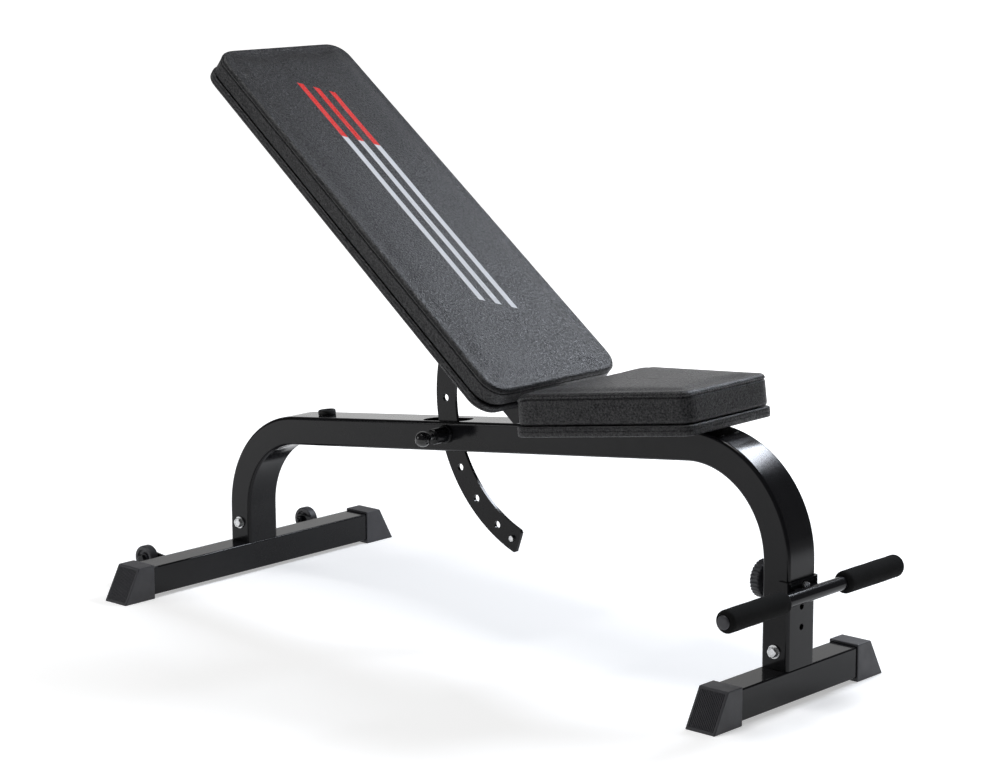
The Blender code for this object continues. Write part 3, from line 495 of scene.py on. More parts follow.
def plate(name, outlines, thickness, matrix=UNMOVED, bevel=0.0006, segments=3):
    """A flat plate in the XY plane from closed outlines, with its edges softened."""
    curve = bpy.data.curves.new(name, "CURVE")
    curve.dimensions = "2D"
    curve.fill_mode = "BOTH"
    curve.extrude = thickness / 2
    for outline in outlines:
        spline = curve.splines.new("POLY")
        spline.points.add(len(outline) - 1)
        for point, (x, y) in zip(spline.points, outline):
            point.co = (x, y, 0, 1)
        spline.use_cyclic_u = True
    obj = as_mesh(add_object(name, curve))
    bm = bmesh.new()
    bm.from_mesh(obj.data)
    bmesh.ops.remove_doubles(bm, verts=bm.verts, dist=1e-6)
    bmesh.ops.recalc_face_normals(bm, faces=bm.faces)
    bm.to_mesh(obj.data)
    bm.free()
    if bevel:
        soften(obj, bevel, segments)
        obj = as_mesh(obj)
    obj.data.transform(matrix)
    smooth(obj.data, 50.0)
    weigh_normals(obj)
    return obj


def soften(obj, width, segments=3, angle=40.0):
    modifier = obj.modifiers.new("soften", "BEVEL")
    modifier.width = width
    modifier.segments = segments
    modifier.limit_method = "ANGLE"
    modifier.angle_limit = math.radians(angle)


def weigh_normals(obj):
    """Keeps big flat faces flat next to their rounded edges."""
    modifier = obj.modifiers.new("weighted normals", "WEIGHTED_NORMAL")
    modifier.keep_sharp = True
    modifier.weight = 90


def boolean(obj, other, operation="DIFFERENCE"):
    modifier = obj.modifiers.new("boolean", "BOOLEAN")
    modifier.operation = operation
    modifier.object = other
    made = as_mesh(obj)
    bpy.data.objects.remove(other)
    return made


SLIVER = 0.00015


def cleaned(obj):
    """Merges the slivers that a Boolean leaves, so that a bevel after it keeps its width."""
    bm = bmesh.new()
    bm.from_mesh(obj.data)
    bmesh.ops.remove_doubles(bm, verts=bm.verts, dist=SLIVER)
    bmesh.ops.dissolve_limit(bm, angle_limit=math.radians(1), verts=bm.verts, edges=bm.edges)
    bm.to_mesh(obj.data)
    bm.free()
    return obj


def rounded_rectangle(width, height, radius, count=7):
    quarter = math.pi / 2
    points = []
    for turn, (sx, sy) in enumerate(((1, 1), (-1, 1), (-1, -1), (1, -1))):
        centre = (sx * (width / 2 - radius), sy * (height / 2 - radius))
        points += arc(centre, radius, turn * quarter, (turn + 1) * quarter, count)
    return points


def swept_rings(path, profile):
    """Rings of a profile along a path in the XZ plane. The profile's second value is Y."""
    rings = []
    for i, point in enumerate(path):
        before = Vector(path[max(i - 1, 0)])
        after = Vector(path[min(i + 1, len(path) - 1)])
        along = (after - before).normalized()
        side = Vector((-along.y, along.x))
        rings.append([(point[0] + side.x * a, b, point[1] + side.y * a) for a, b in profile])
    return rings


def hex_reach(across_flats, angle):
    """The distance from a hexagon's centre to its edge in a direction."""
    sixth = math.pi / 3
    return across_flats / 2 / math.cos((angle % sixth) - sixth / 2)


def hex_ring(across_flats, height, steps, cone=None):
    """A hexagon's outline. With a cone (radius, slope) it falls away past that radius."""
    ring = []
    for i in range(steps):
        angle = math.tau * i / steps
        reach = hex_reach(across_flats, angle)
        fall = 0 if cone is None else max(0, reach - cone[0]) * cone[1]
        ring.append((reach * math.cos(angle), reach * math.sin(angle), height - fall))
    return ring


def thread_rings(radius, low, high, pitch, steps):
    """Rings of a V thread from low up to high, as closely set ridges."""
    rings = []
    count = max(1, round((high - low) / pitch))
    for i in range(count):
        z = low + (high - low) * i / count
        rings.append(round_ring(radius * 0.88, z, steps))
        rings.append(round_ring(radius, z + (high - low) / count / 2, steps))
    rings.append(round_ring(radius * 0.86, high, steps))
    return rings


HEX_STEPS = 72


def bolt_mesh(radius, flats, height, length, threaded):
    """A hexagon bolt with its head's underside at z = 0, its shaft down and its head up."""
    steps = HEX_STEPS
    flat = flats / 2 * 0.93
    tip = -length
    rings = [[(0, 0, tip)], round_ring(radius * 0.7, tip, steps)]
    rings += thread_rings(radius, tip + radius * 0.3, tip + threaded, radius * 0.3, steps)
    rings += [round_ring(radius, tip + threaded + radius * 0.3, steps), round_ring(radius, 0, steps)]
    rings += [round_ring(flat, 0, steps), round_ring(flat, 0.0004, steps)]
    rings += [hex_ring(flats * 0.985, 0.0004, steps), hex_ring(flats, 0.0007, steps)]
    rings += [hex_ring(flats, height, steps, (flat, 0.55))]
    rings += [round_ring(flat, height, steps), round_ring(flat * 0.78, height, steps)]
    rings += [round_ring(flat * 0.72, height - 0.0003, steps), [(0, 0, height - 0.0003)]]
    return loft(rings, capped=False)


def nut_mesh(bore, flats, height):
    """A hexagon nut standing on z = 0, chamfered at both faces."""
    steps = HEX_STEPS
    flat = flats / 2 * 0.93
    up = hex_ring(flats, height, steps, (flat, 0.55))
    down = [(x, y, height - z) for x, y, z in up]
    rings = [round_ring(bore, 0.0006, steps), round_ring(bore * 1.12, 0, steps)]
    rings += [round_ring(flat, 0, steps), down, up, round_ring(flat, height, steps)]
    rings += [round_ring(bore * 1.12, height, steps), round_ring(bore, height - 0.0006, steps)]
    return loft(rings, closed=True)


def ring_mesh(outer, inner, thickness, edge=0.0002, steps=64):
    profile = [(inner, edge), (inner + edge, 0), (outer - edge, 0), (outer, edge)]
    profile += [(outer, thickness - edge), (outer - edge, thickness)]
    profile += [(inner + edge, thickness), (inner, thickness - edge)]
    return turned(profile, steps, closed=True)


AXES = {"x": 0, "y": 1, "z": 2}
# Across flats: shaft radius, head height
BOLT_SIZES = {
    0.008: (0.0025, 0.0035),
    0.010: (0.003, 0.004),
    0.013: (0.004, 0.0048),
    0.017: (0.005, 0.0064),
}
LEG_WASHER = 0.0094
WASHER_THICKNESS = 0.0015
# A head's width where a washer shows round it, as a share of its own size
WASHERED_HEAD = 0.76


def bolt_size(flats):
    """The shaft radius and head height of the bolt whose head is nearest to this size."""
    return BOLT_SIZES[min(BOLT_SIZES, key=lambda size: abs(size - flats))]


def hex_bolt(node, axis, head_low, threaded=0.012, matrix=UNMOVED, washer=0.0, look=ZINC):
    """Replaces a CAD bolt whose head is at the low or the high end of an axis of matrix.

    A washer is the radius of one that shows under the head.
    """
    low, high = extent(node, matrix)
    centre = (low + high) / 2
    index = AXES[axis]
    sizes = high - low
    flats = min(sizes[i] for i in range(3) if i != index)
    radius, height = bolt_size(flats)
    length = sizes[index] - height
    outward = [0, 0, 0]
    outward[index] = -1 if head_low else 1
    start = centre.copy()
    start[index] = low[index] + height if head_low else high[index] - height
    head = flats * (WASHERED_HEAD if washer else 1.0)
    bm = bolt_mesh(radius, head, height, length, threaded)
    if washer:
        scratch = bpy.data.meshes.new("washer")
        ring = ring_mesh(washer, radius + 0.0003, WASHER_THICKNESS)
        ring.to_mesh(scratch)
        ring.free()
        bm.from_mesh(scratch)
        bpy.data.meshes.remove(scratch)
    piece(node, bm, look, matrix @ placed(start, outward), 28.0)


# --- Frame: tube, bars, feet ----------------------------------------------------------------

REAR_X = middle("rear_crossbar").x
FRONT_X = middle("front_crossbar").x
BEAM_TOP = extent("main_tube", ALONG_BEAM)[1].z
LEG_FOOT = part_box("main_tube")[0].z
# The slots for the sector plate: x from the rear leg, width and place across the beam
TOP_SLOT = (0.391, 0.481)
BOTTOM_SLOT = (0.428, 0.496)
SLOT_WIDTH = 0.033
SLOT_Y = -0.008
LOCK_HOLE = 0.0044
LOCK_PITCH = 0.028
LEG_HOLE = 0.0053
PIN_HOLE = 0.0054
CLAMP_HOLE = 0.0043


def beam_z(x, below_top):
    """The height above the floor of a line that runs below the beam's top face."""
    return (BEAM_TOP - below_top + x * math.sin(BEAM_TILT)) / math.cos(BEAM_TILT)


def tube_path(longer):
    square = math.pi / 2 + BEAM_TILT
    drop = BEND_RADIUS / math.cos(BEAM_TILT)
    rear, front = REAR_X + BEND_RADIUS, FRONT_X - BEND_RADIUS
    rear_centre = (rear, beam_z(rear, TUBE_DEPTH / 2) - drop)
    front_centre = (front, beam_z(front, TUBE_DEPTH / 2) - drop)
    foot = LEG_FOOT - longer
    path = [(REAR_X, foot)]
    path += arc(rear_centre, BEND_RADIUS, math.pi, square, 33)
    path += arc(front_centre, BEND_RADIUS, square, 0, 37)
    return path + [(FRONT_X, foot)]


def slot_cutter(span, above, below):
    """A rounded slot square to the beam, from one depth to another below its top face."""
    centre = REAR_X + (span[0] + span[1]) / 2
    half, radius = (span[1] - span[0]) / 2, SLOT_WIDTH / 2
    outline = arc((half - radius, 0), radius, -math.pi / 2, math.pi / 2, 17)
    outline += arc((radius - half, 0), radius, math.pi / 2, 3 * math.pi / 2, 17)
    depth = (above + below) / 2
    start = Vector((centre, SLOT_Y, beam_z(centre, 0)))
    place = Matrix.Translation(start) @ ALONG_BEAM @ Matrix.Translation((0, 0, -depth))
    rings = [[(x, y, z) for x, y in outline] for z in (-(below - above) / 2, (below - above) / 2)]
    return from_bmesh("slot_cutter", loft(rings), place)


def rod_cutter(start, direction, radius, length):
    profile = [(0, 0), (radius, 0), (radius, length), (0, length)]
    return from_bmesh("rod_cutter", turned(profile, 40), placed(start, direction))


def make_main_tube():
    outer = rounded_rectangle(TUBE_DEPTH, TUBE_WIDTH, TUBE_CORNER, 7)
    wall = 2 * TUBE_WALL
    inner = rounded_rectangle(TUBE_DEPTH - wall, TUBE_WIDTH - wall, TUBE_CORNER - TUBE_WALL, 4)
    tube = from_bmesh("main_tube_piece", loft(swept_rings(tube_path(0), outer)))
    tube = boolean(tube, from_bmesh("bore", loft(swept_rings(tube_path(0.01), inner))))
    tube = boolean(tube, slot_cutter(TOP_SLOT, -0.01, TUBE_DEPTH / 2))
    tube = boolean(tube, slot_cutter(BOTTOM_SLOT, TUBE_DEPTH / 2, TUBE_DEPTH + 0.01))
    pin = middle("pin_barrel")
    tube = boolean(tube, rod_cutter((pin.x, -0.04, pin.z), (0, 1, 0), PIN_HOLE, 0.02))
    for end in ("rear", "front"):
        bolt = middle(f"{end}_leg_bolt")
        start = (bolt.x, -TUBE_WIDTH, bolt.z)
        tube = boolean(tube, rod_cutter(start, (0, 1, 0), LEG_HOLE, 2 * TUBE_WIDTH))
    top_hole = middle("knob_washer").z
    for i in range(3):
        start = (FRONT_X - TUBE_WIDTH, 0, top_hole - i * LOCK_PITCH)
        tube = boolean(tube, rod_cutter(start, (1, 0, 0), LOCK_HOLE, 2 * TUBE_WIDTH))
    smooth(tube.data, 38.0)
    weigh_normals(tube)
    finished(tube, STEEL, "main_frame", ["main_tube"])


def make_crossbar(end):
    low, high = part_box(f"{end}_crossbar")
    size = high - low
    outer = rounded_rectangle(size.x, size.z, BAR_CORNER, 6)
    inner = rounded_rectangle(size.x - 2 * TUBE_WALL, size.z - 2 * TUBE_WALL, BORE_CORNER, 6)
    half = size.y / 2
    ends = ((outer, -half), (outer, half), (inner, half), (inner, -half))
    rings = [[(x, y, z) for x, z in profile] for profile, y in ends]
    place = Matrix.Translation((low + high) / 2)
    weigh_normals(piece(f"{end}_crossbar", loft(rings, closed=True), STEEL, place, 40.0))


# Feet: the length of the flat top, the socket for the bar, and the ribs in the sloping face
CAP_TOP_LENGTH = 0.030
CAP_SOCKET = 0.0223
CAP_GRIP = 0.0238
RIB_COUNT = 14
RIB_FRAME = 0.0036
RIB_DEPTH = 0.0016
GROOVE_MOUTH = 0.003


def rib_grooves(width, length, height):
    """The cutters between the ribs, down a foot's sloping face."""
    slope = Vector((0, length - CAP_TOP_LENGTH, -height))
    run = slope.length
    down = slope.normalized()
    out = Vector((0, height, length - CAP_TOP_LENGTH)).normalized()
    top = Vector((0, CAP_TOP_LENGTH, height))
    grooves = bmesh.new()
    usable = width - 2 * RIB_FRAME
    pitch = usable / (RIB_COUNT + 1)
    half = pitch * 0.3
    floor = half * 0.6
    section = ((-half, GROOVE_MOUTH), (half, GROOVE_MOUTH), (floor, -RIB_DEPTH), (-floor, -RIB_DEPTH))
    for i in range(RIB_COUNT + 1):
        x = -usable / 2 + pitch * (i + 0.5)
        corners = []
        for along in (RIB_FRAME, run - RIB_FRAME * 1.3):
            start = top + down * along + Vector((x, 0, 0))
            corners += [start + out * rise + Vector((across, 0, 0)) for across, rise in section]
        add_block(grooves, corners)
    return from_bmesh("grooves", grooves)


def make_cap(node):
    """A plastic foot: rounded edges, a socket for the bar, and ribs in its sloping face."""
    low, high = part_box(node)
    side = -1 if low.y < 0 else 1
    length = high.y - low.y
    width, height = high.x - low.x, high.z - low.z
    outline = [(0, 0), (length, 0), (CAP_TOP_LENGTH, height), (0, height)]
    centre = (low.x + high.x) / 2
    rings = [[(x, y, z) for y, z in outline] for x in (-width / 2, width / 2)]
    inner_y = low.y if side > 0 else high.y
    place = Matrix.Translation((centre, inner_y, 0)) @ Matrix.Diagonal((1, side, 1, 1))
    cap = from_bmesh(f"{node}_piece", loft(rings))
    soften(cap, 0.0013, 3)
    cap = as_mesh(cap)
    bar_middle = middle("rear_crossbar").z
    socket = rounded_rectangle(2 * CAP_SOCKET, 2 * CAP_SOCKET, 0.0015, 4)
    rings = [[(x, y, z + bar_middle) for x, z in socket] for y in (-0.01, CAP_GRIP)]
    cap = boolean(cap, from_bmesh("socket", loft(rings)))
    cap = boolean(cap, rib_grooves(width, length, height))
    cap.data.transform(place)
    if side < 0:
        cap.data.flip_normals()
    smooth(cap.data, 35.0)
    soften(cap, 0.0004, 2, 30.0)
    weigh_normals(cap)
    finished(cap, PLASTIC, "main_frame", [node])


def make_bumper():
    low, high = extent("rubber_bumper", ALONG_BEAM)
    radius, top = (high.x - low.x) / 2, high.z - low.z
    base = ALONG_BEAM @ Vector(((low.x + high.x) / 2, 0, low.z))
    profile = [(0, 0), (radius - 0.0004, 0), (radius, 0.0006), (radius, top - 0.0022)]
    profile += [(radius - 0.0004, top - 0.0010), (radius - 0.0014, top - 0.0002)]
    profile += [(radius - 0.0026, top), (radius - 0.0040, top - 0.0003)]
    profile += [(radius - 0.0048, top - 0.0014), (radius - 0.0056, top - 0.0022)]
    profile += [(0.0040, top - 0.0022), (0.0036, top - 0.0036), (0, top - 0.0036)]
    place = Matrix.Translation(base) @ ALONG_BEAM
    piece("rubber_bumper", turned(profile, 72), RUBBER, place, 45.0)


# --- Hinge, arms and sector plate -----------------------------------------------------------

EAR_RADIUS = 0.013
M10_HOLE = 0.0053
BACK_LOW, BACK_HIGH = extent("backrest_board", IN_BACKREST)
SEAT_LOW, SEAT_HIGH = extent("seat_board", ALONG_BEAM)


def make_ears():
    slope = math.tan(BEAM_TILT)
    for label in ("near", "far"):
        low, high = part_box(f"hinge_ear_{label}")
        foot = beam_z(HINGE.x, 0) + 0.0003 - HINGE.z
        base = (high.x - low.x) / 2
        outline = [(-base, foot - base * slope), (base, foot + base * slope)]
        outline += arc((0, 0), EAR_RADIUS, 0, math.pi, 25)
        centre = (HINGE.x, (low.y + high.y) / 2, HINGE.z)
        place = Matrix.Translation(centre) @ ON_XZ
        holes = [outline, circle((0, 0), M10_HOLE)]
        name = f"hinge_ear_{label}"
        ear = plate(f"{name}_piece", holes, high.y - low.y, place)
        finished(ear, STEEL, "main_frame", [name])


# The backrest's arms, from the hinge: along the board, and the bolt's boss and hole
ARM_FRONT = -0.029
ARM_REAR = -0.160
ARM_THICKNESS = 0.004
ARM_BOSS = 0.014
ARM_HOLE = 0.0051
FLANGE = 0.003
FLANGE_REACH = 0.070


def flat_box(name, low, high, matrix, radius=0.003, bevel=0.0006, holes=()):
    """A flat bar with rounded corners in plan, from its corners in the axes of matrix."""
    size = Vector(high) - Vector(low)
    centre = (Vector(high) + Vector(low)) / 2
    outlines = [rounded_rectangle(size.x, size.y, radius, 5), *holes]
    place = matrix @ Matrix.Translation(centre)
    return plate(name, outlines, size.z, place, bevel)


def make_arms():
    """Each arm: a web down to the hinge, welded to a flange that lies against the board."""
    top = BACK_LOW.z - 0.0003
    for label, side in SIDES:
        name = f"backrest_arm_{label}"
        outline = arc((0, 0), ARM_BOSS, math.radians(-100), math.radians(150), 31)
        outline += [(ARM_FRONT, top), (ARM_REAR, top), (ARM_REAR, top - 0.007)]
        outline += [(-0.075, -0.058), (-0.036, -0.058)]
        low, high = extent(name, IN_BACKREST)
        inner = low.y if side > 0 else high.y
        middle_y = inner + side * ARM_THICKNESS / 2
        place = IN_BACKREST @ Matrix.Translation((0, middle_y, 0)) @ ON_XZ
        web = plate(f"{name}_piece", [outline, circle((0, 0), ARM_HOLE)], ARM_THICKNESS, place, 0)
        ends = sorted((inner + side * 0.0005, side * FLANGE_REACH))
        flange_low = (ARM_REAR + 0.005, ends[0], top - FLANGE)
        flange_high = (ARM_FRONT - 0.016, ends[1], top)
        flange = flat_box("flange", flange_low, flange_high, IN_BACKREST, 0.004, 0)
        arm = cleaned(boolean(web, as_mesh(flange), "UNION"))
        smooth(arm.data, 40.0)
        soften(arm, 0.0006, 3, 50.0)
        weigh_normals(arm)
        finished(arm, STEEL, "backrest", [name])


# The curved plate: its radii, and angles about the hinge from +X at rest
SECTOR_INNER = 0.194
SECTOR_OUTER = 0.231
HOLE_CIRCLE = 0.2128
HOLE_RADIUS = 0.0055
HOLE_PITCH = math.radians(14.1)
PIN_ANGLE = math.radians(-164.0)
STOP_ANGLE = math.radians(-112.7)
SECTOR_END = math.radians(-109.3)


def make_sector():
    low, high = extent("sector_plate", IN_BACKREST)
    lid = high.z
    end = SECTOR_END + BACK_ANGLE
    outer_start = -math.pi + math.asin(-lid / SECTOR_OUTER)
    inner_start = -math.pi + math.asin(-lid / SECTOR_INNER)
    outline = arc((0, 0), SECTOR_OUTER, outer_start, end - 0.014, 90)
    for radius in (SECTOR_OUTER - 0.003, SECTOR_INNER + 0.003):
        outline.append((radius * math.cos(end), radius * math.sin(end)))
    outline += arc((0, 0), SECTOR_INNER, end - 0.016, inner_start, 80)
    outlines = [outline]
    for step in range(-3, 4):
        angle = PIN_ANGLE + BACK_ANGLE + step * HOLE_PITCH
        centre = (HOLE_CIRCLE * math.cos(angle), HOLE_CIRCLE * math.sin(angle))
        outlines.append(circle(centre, HOLE_RADIUS))
    angle = STOP_ANGLE + BACK_ANGLE
    stop = (HOLE_CIRCLE * math.cos(angle), HOLE_CIRCLE * math.sin(angle))
    outlines.append(circle(stop, 0.0028))
    place = IN_BACKREST @ Matrix.Translation((0, (low.y + high.y) / 2, 0)) @ ON_XZ
    sector = plate("sector_plate_piece", outlines, high.y - low.y, place, 0.0005)
    finished(sector, STEEL, "backrest", ["sector_plate"])


def make_flat_plates():
    low, high = extent("backrest_strap", IN_BACKREST)
    strap = flat_box("backrest_strap_piece", low, high, IN_BACKREST, 0.006)
    finished(strap, STEEL, "backrest", ["backrest_strap"])
    for end in ("rear", "front"):
        low, high = extent(f"seat_plate_{end}", ALONG_BEAM)
        seat_plate = flat_box(f"seat_plate_{end}_piece", low, high, ALONG_BEAM, 0.005)
        finished(seat_plate, STEEL, "main_frame", [f"seat_plate_{end}"])


# --- Bolts and screws -----------------------------------------------------------------------


def make_nut(node, axis, look=ZINC):
    low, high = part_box(node)
    size = high - low
    index = AXES[axis]
    flats = min(size[i] for i in range(3) if i != index)
    radius, _ = bolt_size(flats)
    start = (low + high) / 2
    start[index] = low[index]
    outward = [0, 0, 0]
    outward[index] = 1
    bm = nut_mesh(radius + 0.0002, flats, size[index])
    piece(node, bm, look, placed(start, outward), 28.0)


def make_fasteners():
    for end in ("rear", "front"):
        hex_bolt(f"{end}_leg_bolt", "y", True, washer=LEG_WASHER)
        make_nut(f"{end}_leg_nut", "y")
    hex_bolt("hinge_bolt", "y", True)
    make_nut("hinge_nut", "y")
    for label in ("near", "far"):
        hex_bolt(f"wheel_axle_{label}", "y", label == "near", 0.008, look=STEEL)
        make_nut(f"wheel_nut_{label}", "y", STEEL)
        for i in (1, 2):
            hex_bolt(f"arm_screw_{label}_{i}", "z", True, 0.010, IN_BACKREST)
        hex_bolt(f"strap_screw_{label}", "z", True, 0.010, IN_BACKREST)
        for end in ("rear", "front"):
            hex_bolt(f"seat_screw_{end}_{label}", "z", True, 0.010, ALONG_BEAM)
    hex_bolt("stop_bolt", "y", True, 0.004, IN_BACKREST)
    hex_bolt("clamp_bolt", "x", False, 0.030)


# --- Pull pin -------------------------------------------------------------------------------

PIN_AT = middle("pin_barrel")
BALL_TURN = math.radians(142)


def make_pin():
    make_barrel()
    make_plunger()
    make_ball()


def make_barrel():
    low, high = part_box("pin_barrel")
    face, length = high.y, high.y - low.y
    flange = (high.x - low.x) / 2
    tube = flange - 0.002
    profile = [(0.0078, 0.0005), (0.0083, 0), (flange - 0.0004, 0), (flange, 0.0004)]
    profile += [(flange, 0.0034), (flange - 0.0004, 0.0038), (tube + 0.0005, 0.0040)]
    profile += [(tube, 0.0046), (tube, length - 0.0014), (tube - 0.0004, length - 0.0005)]
    profile += [(tube - 0.0013, length), (0.0048, length), (0.0043, length - 0.0005)]
    profile += [(0.0043, 0.024), (0.0078, 0.024)]
    place = placed((PIN_AT.x, face, PIN_AT.z), (0, -1, 0))
    piece("pin_barrel", turned(profile, 64, True), STEEL, place)


def make_plunger():
    """The pin from its nose: the shaft, the collar that the spring pushes, and the stem."""
    low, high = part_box("pin_plunger")
    length = high.y - low.y
    profile = [(0, 0), (0.0038, 0), (0.0046, 0.0006), (0.0050, 0.0016), (0.0050, 0.0159)]
    profile += [(0.0069, 0.0159), (0.0072, 0.0162), (0.0072, 0.0186), (0.0069, 0.0189)]
    profile += [(0.0040, 0.0189), (0.0040, length - 0.0004), (0.0036, length), (0, length)]
    place = placed((PIN_AT.x, high.y, PIN_AT.z), (0, -1, 0))
    piece("pin_plunger", turned(profile, 48), ZINC, place)


def make_ball():
    low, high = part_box("pin_knob")
    radius = (high.x - low.x) / 2
    angles = [BALL_TURN * i / 23 for i in range(24)]
    profile = [(radius * math.sin(a), radius * math.cos(a)) for a in angles]
    profile += [(0.0066, -radius + 0.0014), (0.0065, -radius + 0.0004)]
    profile += [(0.0061, -radius), (0.0044, -radius), (0.0043, -0.0058), (0, -0.0058)]
    place = placed((PIN_AT.x, low.y + radius, PIN_AT.z), (0, -1, 0))
    piece("pin_knob", turned(profile, 64), GLOSS, place, 50.0)


# --- Wheels ---------------------------------------------------------------------------------


def make_wheels():
    for label, side in SIDES:
        make_wheel(label, side)
        make_wheel_bracket(label)


def make_wheel(label, side):
    """A plastic wheel: a flat tread, a rim, a dished web and a hub."""
    name = f"wheel_{label}"
    low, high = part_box(name)
    radius, half = (high.x - low.x) / 2, (high.y - low.y) / 2
    rim, hub, bore = 0.0142, 0.0085, 0.0042
    soft = 0.0004
    side_profile = [(radius - 0.0001, half - 0.0018), (radius - 0.0006, half - 0.0007)]
    side_profile += [(radius - 0.0014, half - 0.0001), (radius - 0.0022, half)]
    side_profile += [(rim + soft, half), (rim, half - soft)]
    side_profile += [(rim - 0.0008, half - 0.0032), (hub + 0.0008, half - 0.0034)]
    side_profile += [(hub, half - 0.0004), (hub - soft, half), (bore + soft, half)]
    side_profile += [(bore, half - soft)]
    other_side = [(r, -y) for r, y in reversed(side_profile)]
    profile = [(radius, half - 0.0035)] + side_profile + other_side + [(radius, 0.0035 - half)]
    place = placed((low + high) / 2, (0, side, 0))
    piece(name, turned(profile, 96, True), PLASTIC, place, 40.0)


def make_wheel_bracket(label):
    name = f"wheel_bracket_{label}"
    low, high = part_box(name)
    axle = middle(f"wheel_{label}")
    weld = high.x - axle.x
    outline = [(weld, -0.026), (weld, 0.006)]
    outline += arc((0, 0), 0.011, math.radians(110), math.radians(250), 29)
    place = Matrix.Translation((axle.x, (low.y + high.y) / 2, axle.z)) @ ON_XZ
    bracket = plate(f"{name}_piece", [outline, circle((0, 0), CLAMP_HOLE)], high.y - low.y, place)
    finished(bracket, STEEL, "main_frame", [name])


# --- Foot bar -------------------------------------------------------------------------------


def make_foot_bar():
    low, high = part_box("foot_bar_tube")
    centre = (low + high) / 2
    radius, half = (high.x - low.x) / 2, (high.y - low.y) / 2
    profile = [(radius, -half + 0.0004), (radius, half - 0.0004), (radius - 0.0004, half)]
    profile += [(0.0081, half), (0.0080, half - 0.0002), (0.0080, 0.0002 - half)]
    profile += [(0.0081, -half), (radius - 0.0004, -half)]
    piece("foot_bar_tube", turned(profile, 96, True), STEEL, placed(centre, (0, 1, 0)))
    for label, side in SIDES:
        make_grip(label, side, centre)
        make_plug(label, side, centre)
    make_saddle(centre)


def make_grip(label, side, centre):
    """A foam sleeve with soft round ends, a little uneven along its length."""
    name = f"foam_grip_{label}"
    low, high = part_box(name)
    radius = (high.x - low.x) / 2
    length = high.y - low.y
    inner = 0.0097
    end = 0.0062
    lip = 0.0012
    profile = [(inner, lip)]
    for angle in (0.4, 0.8, 1.2):
        profile.append((inner + lip - lip * math.cos(angle), lip - lip * math.sin(angle)))
    outer = []
    for i in range(9):
        angle = math.pi / 2 * i / 8
        outer.append((radius - end + end * math.sin(angle), end - end * math.cos(angle)))
    steps = 44
    body = [(radius, end + (length - 2 * end) * i / steps) for i in range(1, steps)]
    profile += outer + body + [(r, length - z) for r, z in reversed(outer)]
    profile += [(inner + 0.0005, length - 0.0004), (inner, length - lip)]
    bm = turned(profile, 112, True)
    for vertex in bm.verts:
        flat_reach = math.hypot(vertex.co.x, vertex.co.y)
        if flat_reach < inner + 0.002:
            continue
        swell = noise.noise(Vector((vertex.co.x * 60, vertex.co.y * 60, vertex.co.z * 35 + side)))
        shrink = 0.00035 * (1 - swell)
        factor = (flat_reach - shrink) / flat_reach
        vertex.co.x *= factor
        vertex.co.y *= factor
    start = (centre.x, low.y if side > 0 else high.y, centre.z)
    grip = piece(name, bm, FOAM, placed(start, (0, side, 0)), 60.0)


def make_plug(label, side, centre):
    name = f"foot_bar_plug_{label}"
    low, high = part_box(name)
    length = high.y - low.y
    head = 0.003
    depth = length - head
    profile = [(0, -depth), (0.0070, -depth), (0.0077, -depth + 0.0007), (0.0077, 0)]
    profile += [(0.0092, 0), (0.0095, 0.0004), (0.0094, 0.0014), (0.0088, 0.0022)]
    profile += [(0.0076, 0.0027), (0.0050, 0.0030), (0.0020, 0.0030), (0, 0.0030)]
    start_y = low.y + head if side < 0 else high.y - head
    place = placed((centre.x, start_y, centre.z), (0, side, 0))
    piece(name, turned(profile, 72), PLASTIC, place, 50.0)


# The saddle's lugs, across the bench and above and below the tube's middle
LUG_INNER = 0.0105
LUG_OUTER = 0.024
LUG_HALF = 0.006


def make_saddle(centre):
    """The U-shaped plate behind the foot bar, bent at its corners, with two welded lugs."""
    low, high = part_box("foot_bar_saddle")
    half, back = high.y, low.x
    wall = 0.003
    leg_face = FRONT_X + TUBE_DEPTH / 2
    front = leg_face + 0.0003 + wall
    outer_bend, inner_bend = 0.005, 0.002
    outer = [(back, -half)]
    outer += arc((front - outer_bend, outer_bend - half), outer_bend, -math.pi / 2, 0, 9)
    outer += arc((front - outer_bend, half - outer_bend), outer_bend, 0, math.pi / 2, 9)
    outer += [(back, half), (back, half - wall)]
    edge = front - wall - inner_bend
    inner = arc((edge, half - wall - inner_bend), inner_bend, math.pi / 2, 0, 7)
    inner += arc((edge, wall + inner_bend - half), inner_bend, 0, -math.pi / 2, 7)
    inner += [(back, wall - half)]
    place = Matrix.Translation((0, 0, (low.z + high.z) / 2))
    saddle = plate("foot_bar_saddle_piece", [outer + inner], high.z - low.z, place, 0)
    for ends in ((-LUG_OUTER, -LUG_INNER), (LUG_INNER, LUG_OUTER)):
        lug_low = (front - 0.0015, ends[0], centre.z - LUG_HALF)
        lug_high = (high.x, ends[1], centre.z + LUG_HALF)
        lug = as_mesh(flat_box("lug", lug_low, lug_high, UNMOVED, 0.001, 0))
        saddle = boolean(saddle, lug, "UNION")
    knob = middle("knob_washer")
    saddle = boolean(saddle, rod_cutter((leg_face - 0.01, 0, knob.z), (1, 0, 0), CLAMP_HOLE, 0.03))
    smooth(saddle.data, 35.0)
    soften(saddle, 0.0005, 3, 50.0)
    weigh_normals(saddle)
    finished(saddle, STEEL, "foot_bar", ["foot_bar_saddle"])


KNOB_RIBS = 30
KNOB_STEPS = KNOB_RIBS * 10
KNOB_RIB = 0.0009
KNOB_THICKNESS = 0.015
KNOB_HUB = 0.011


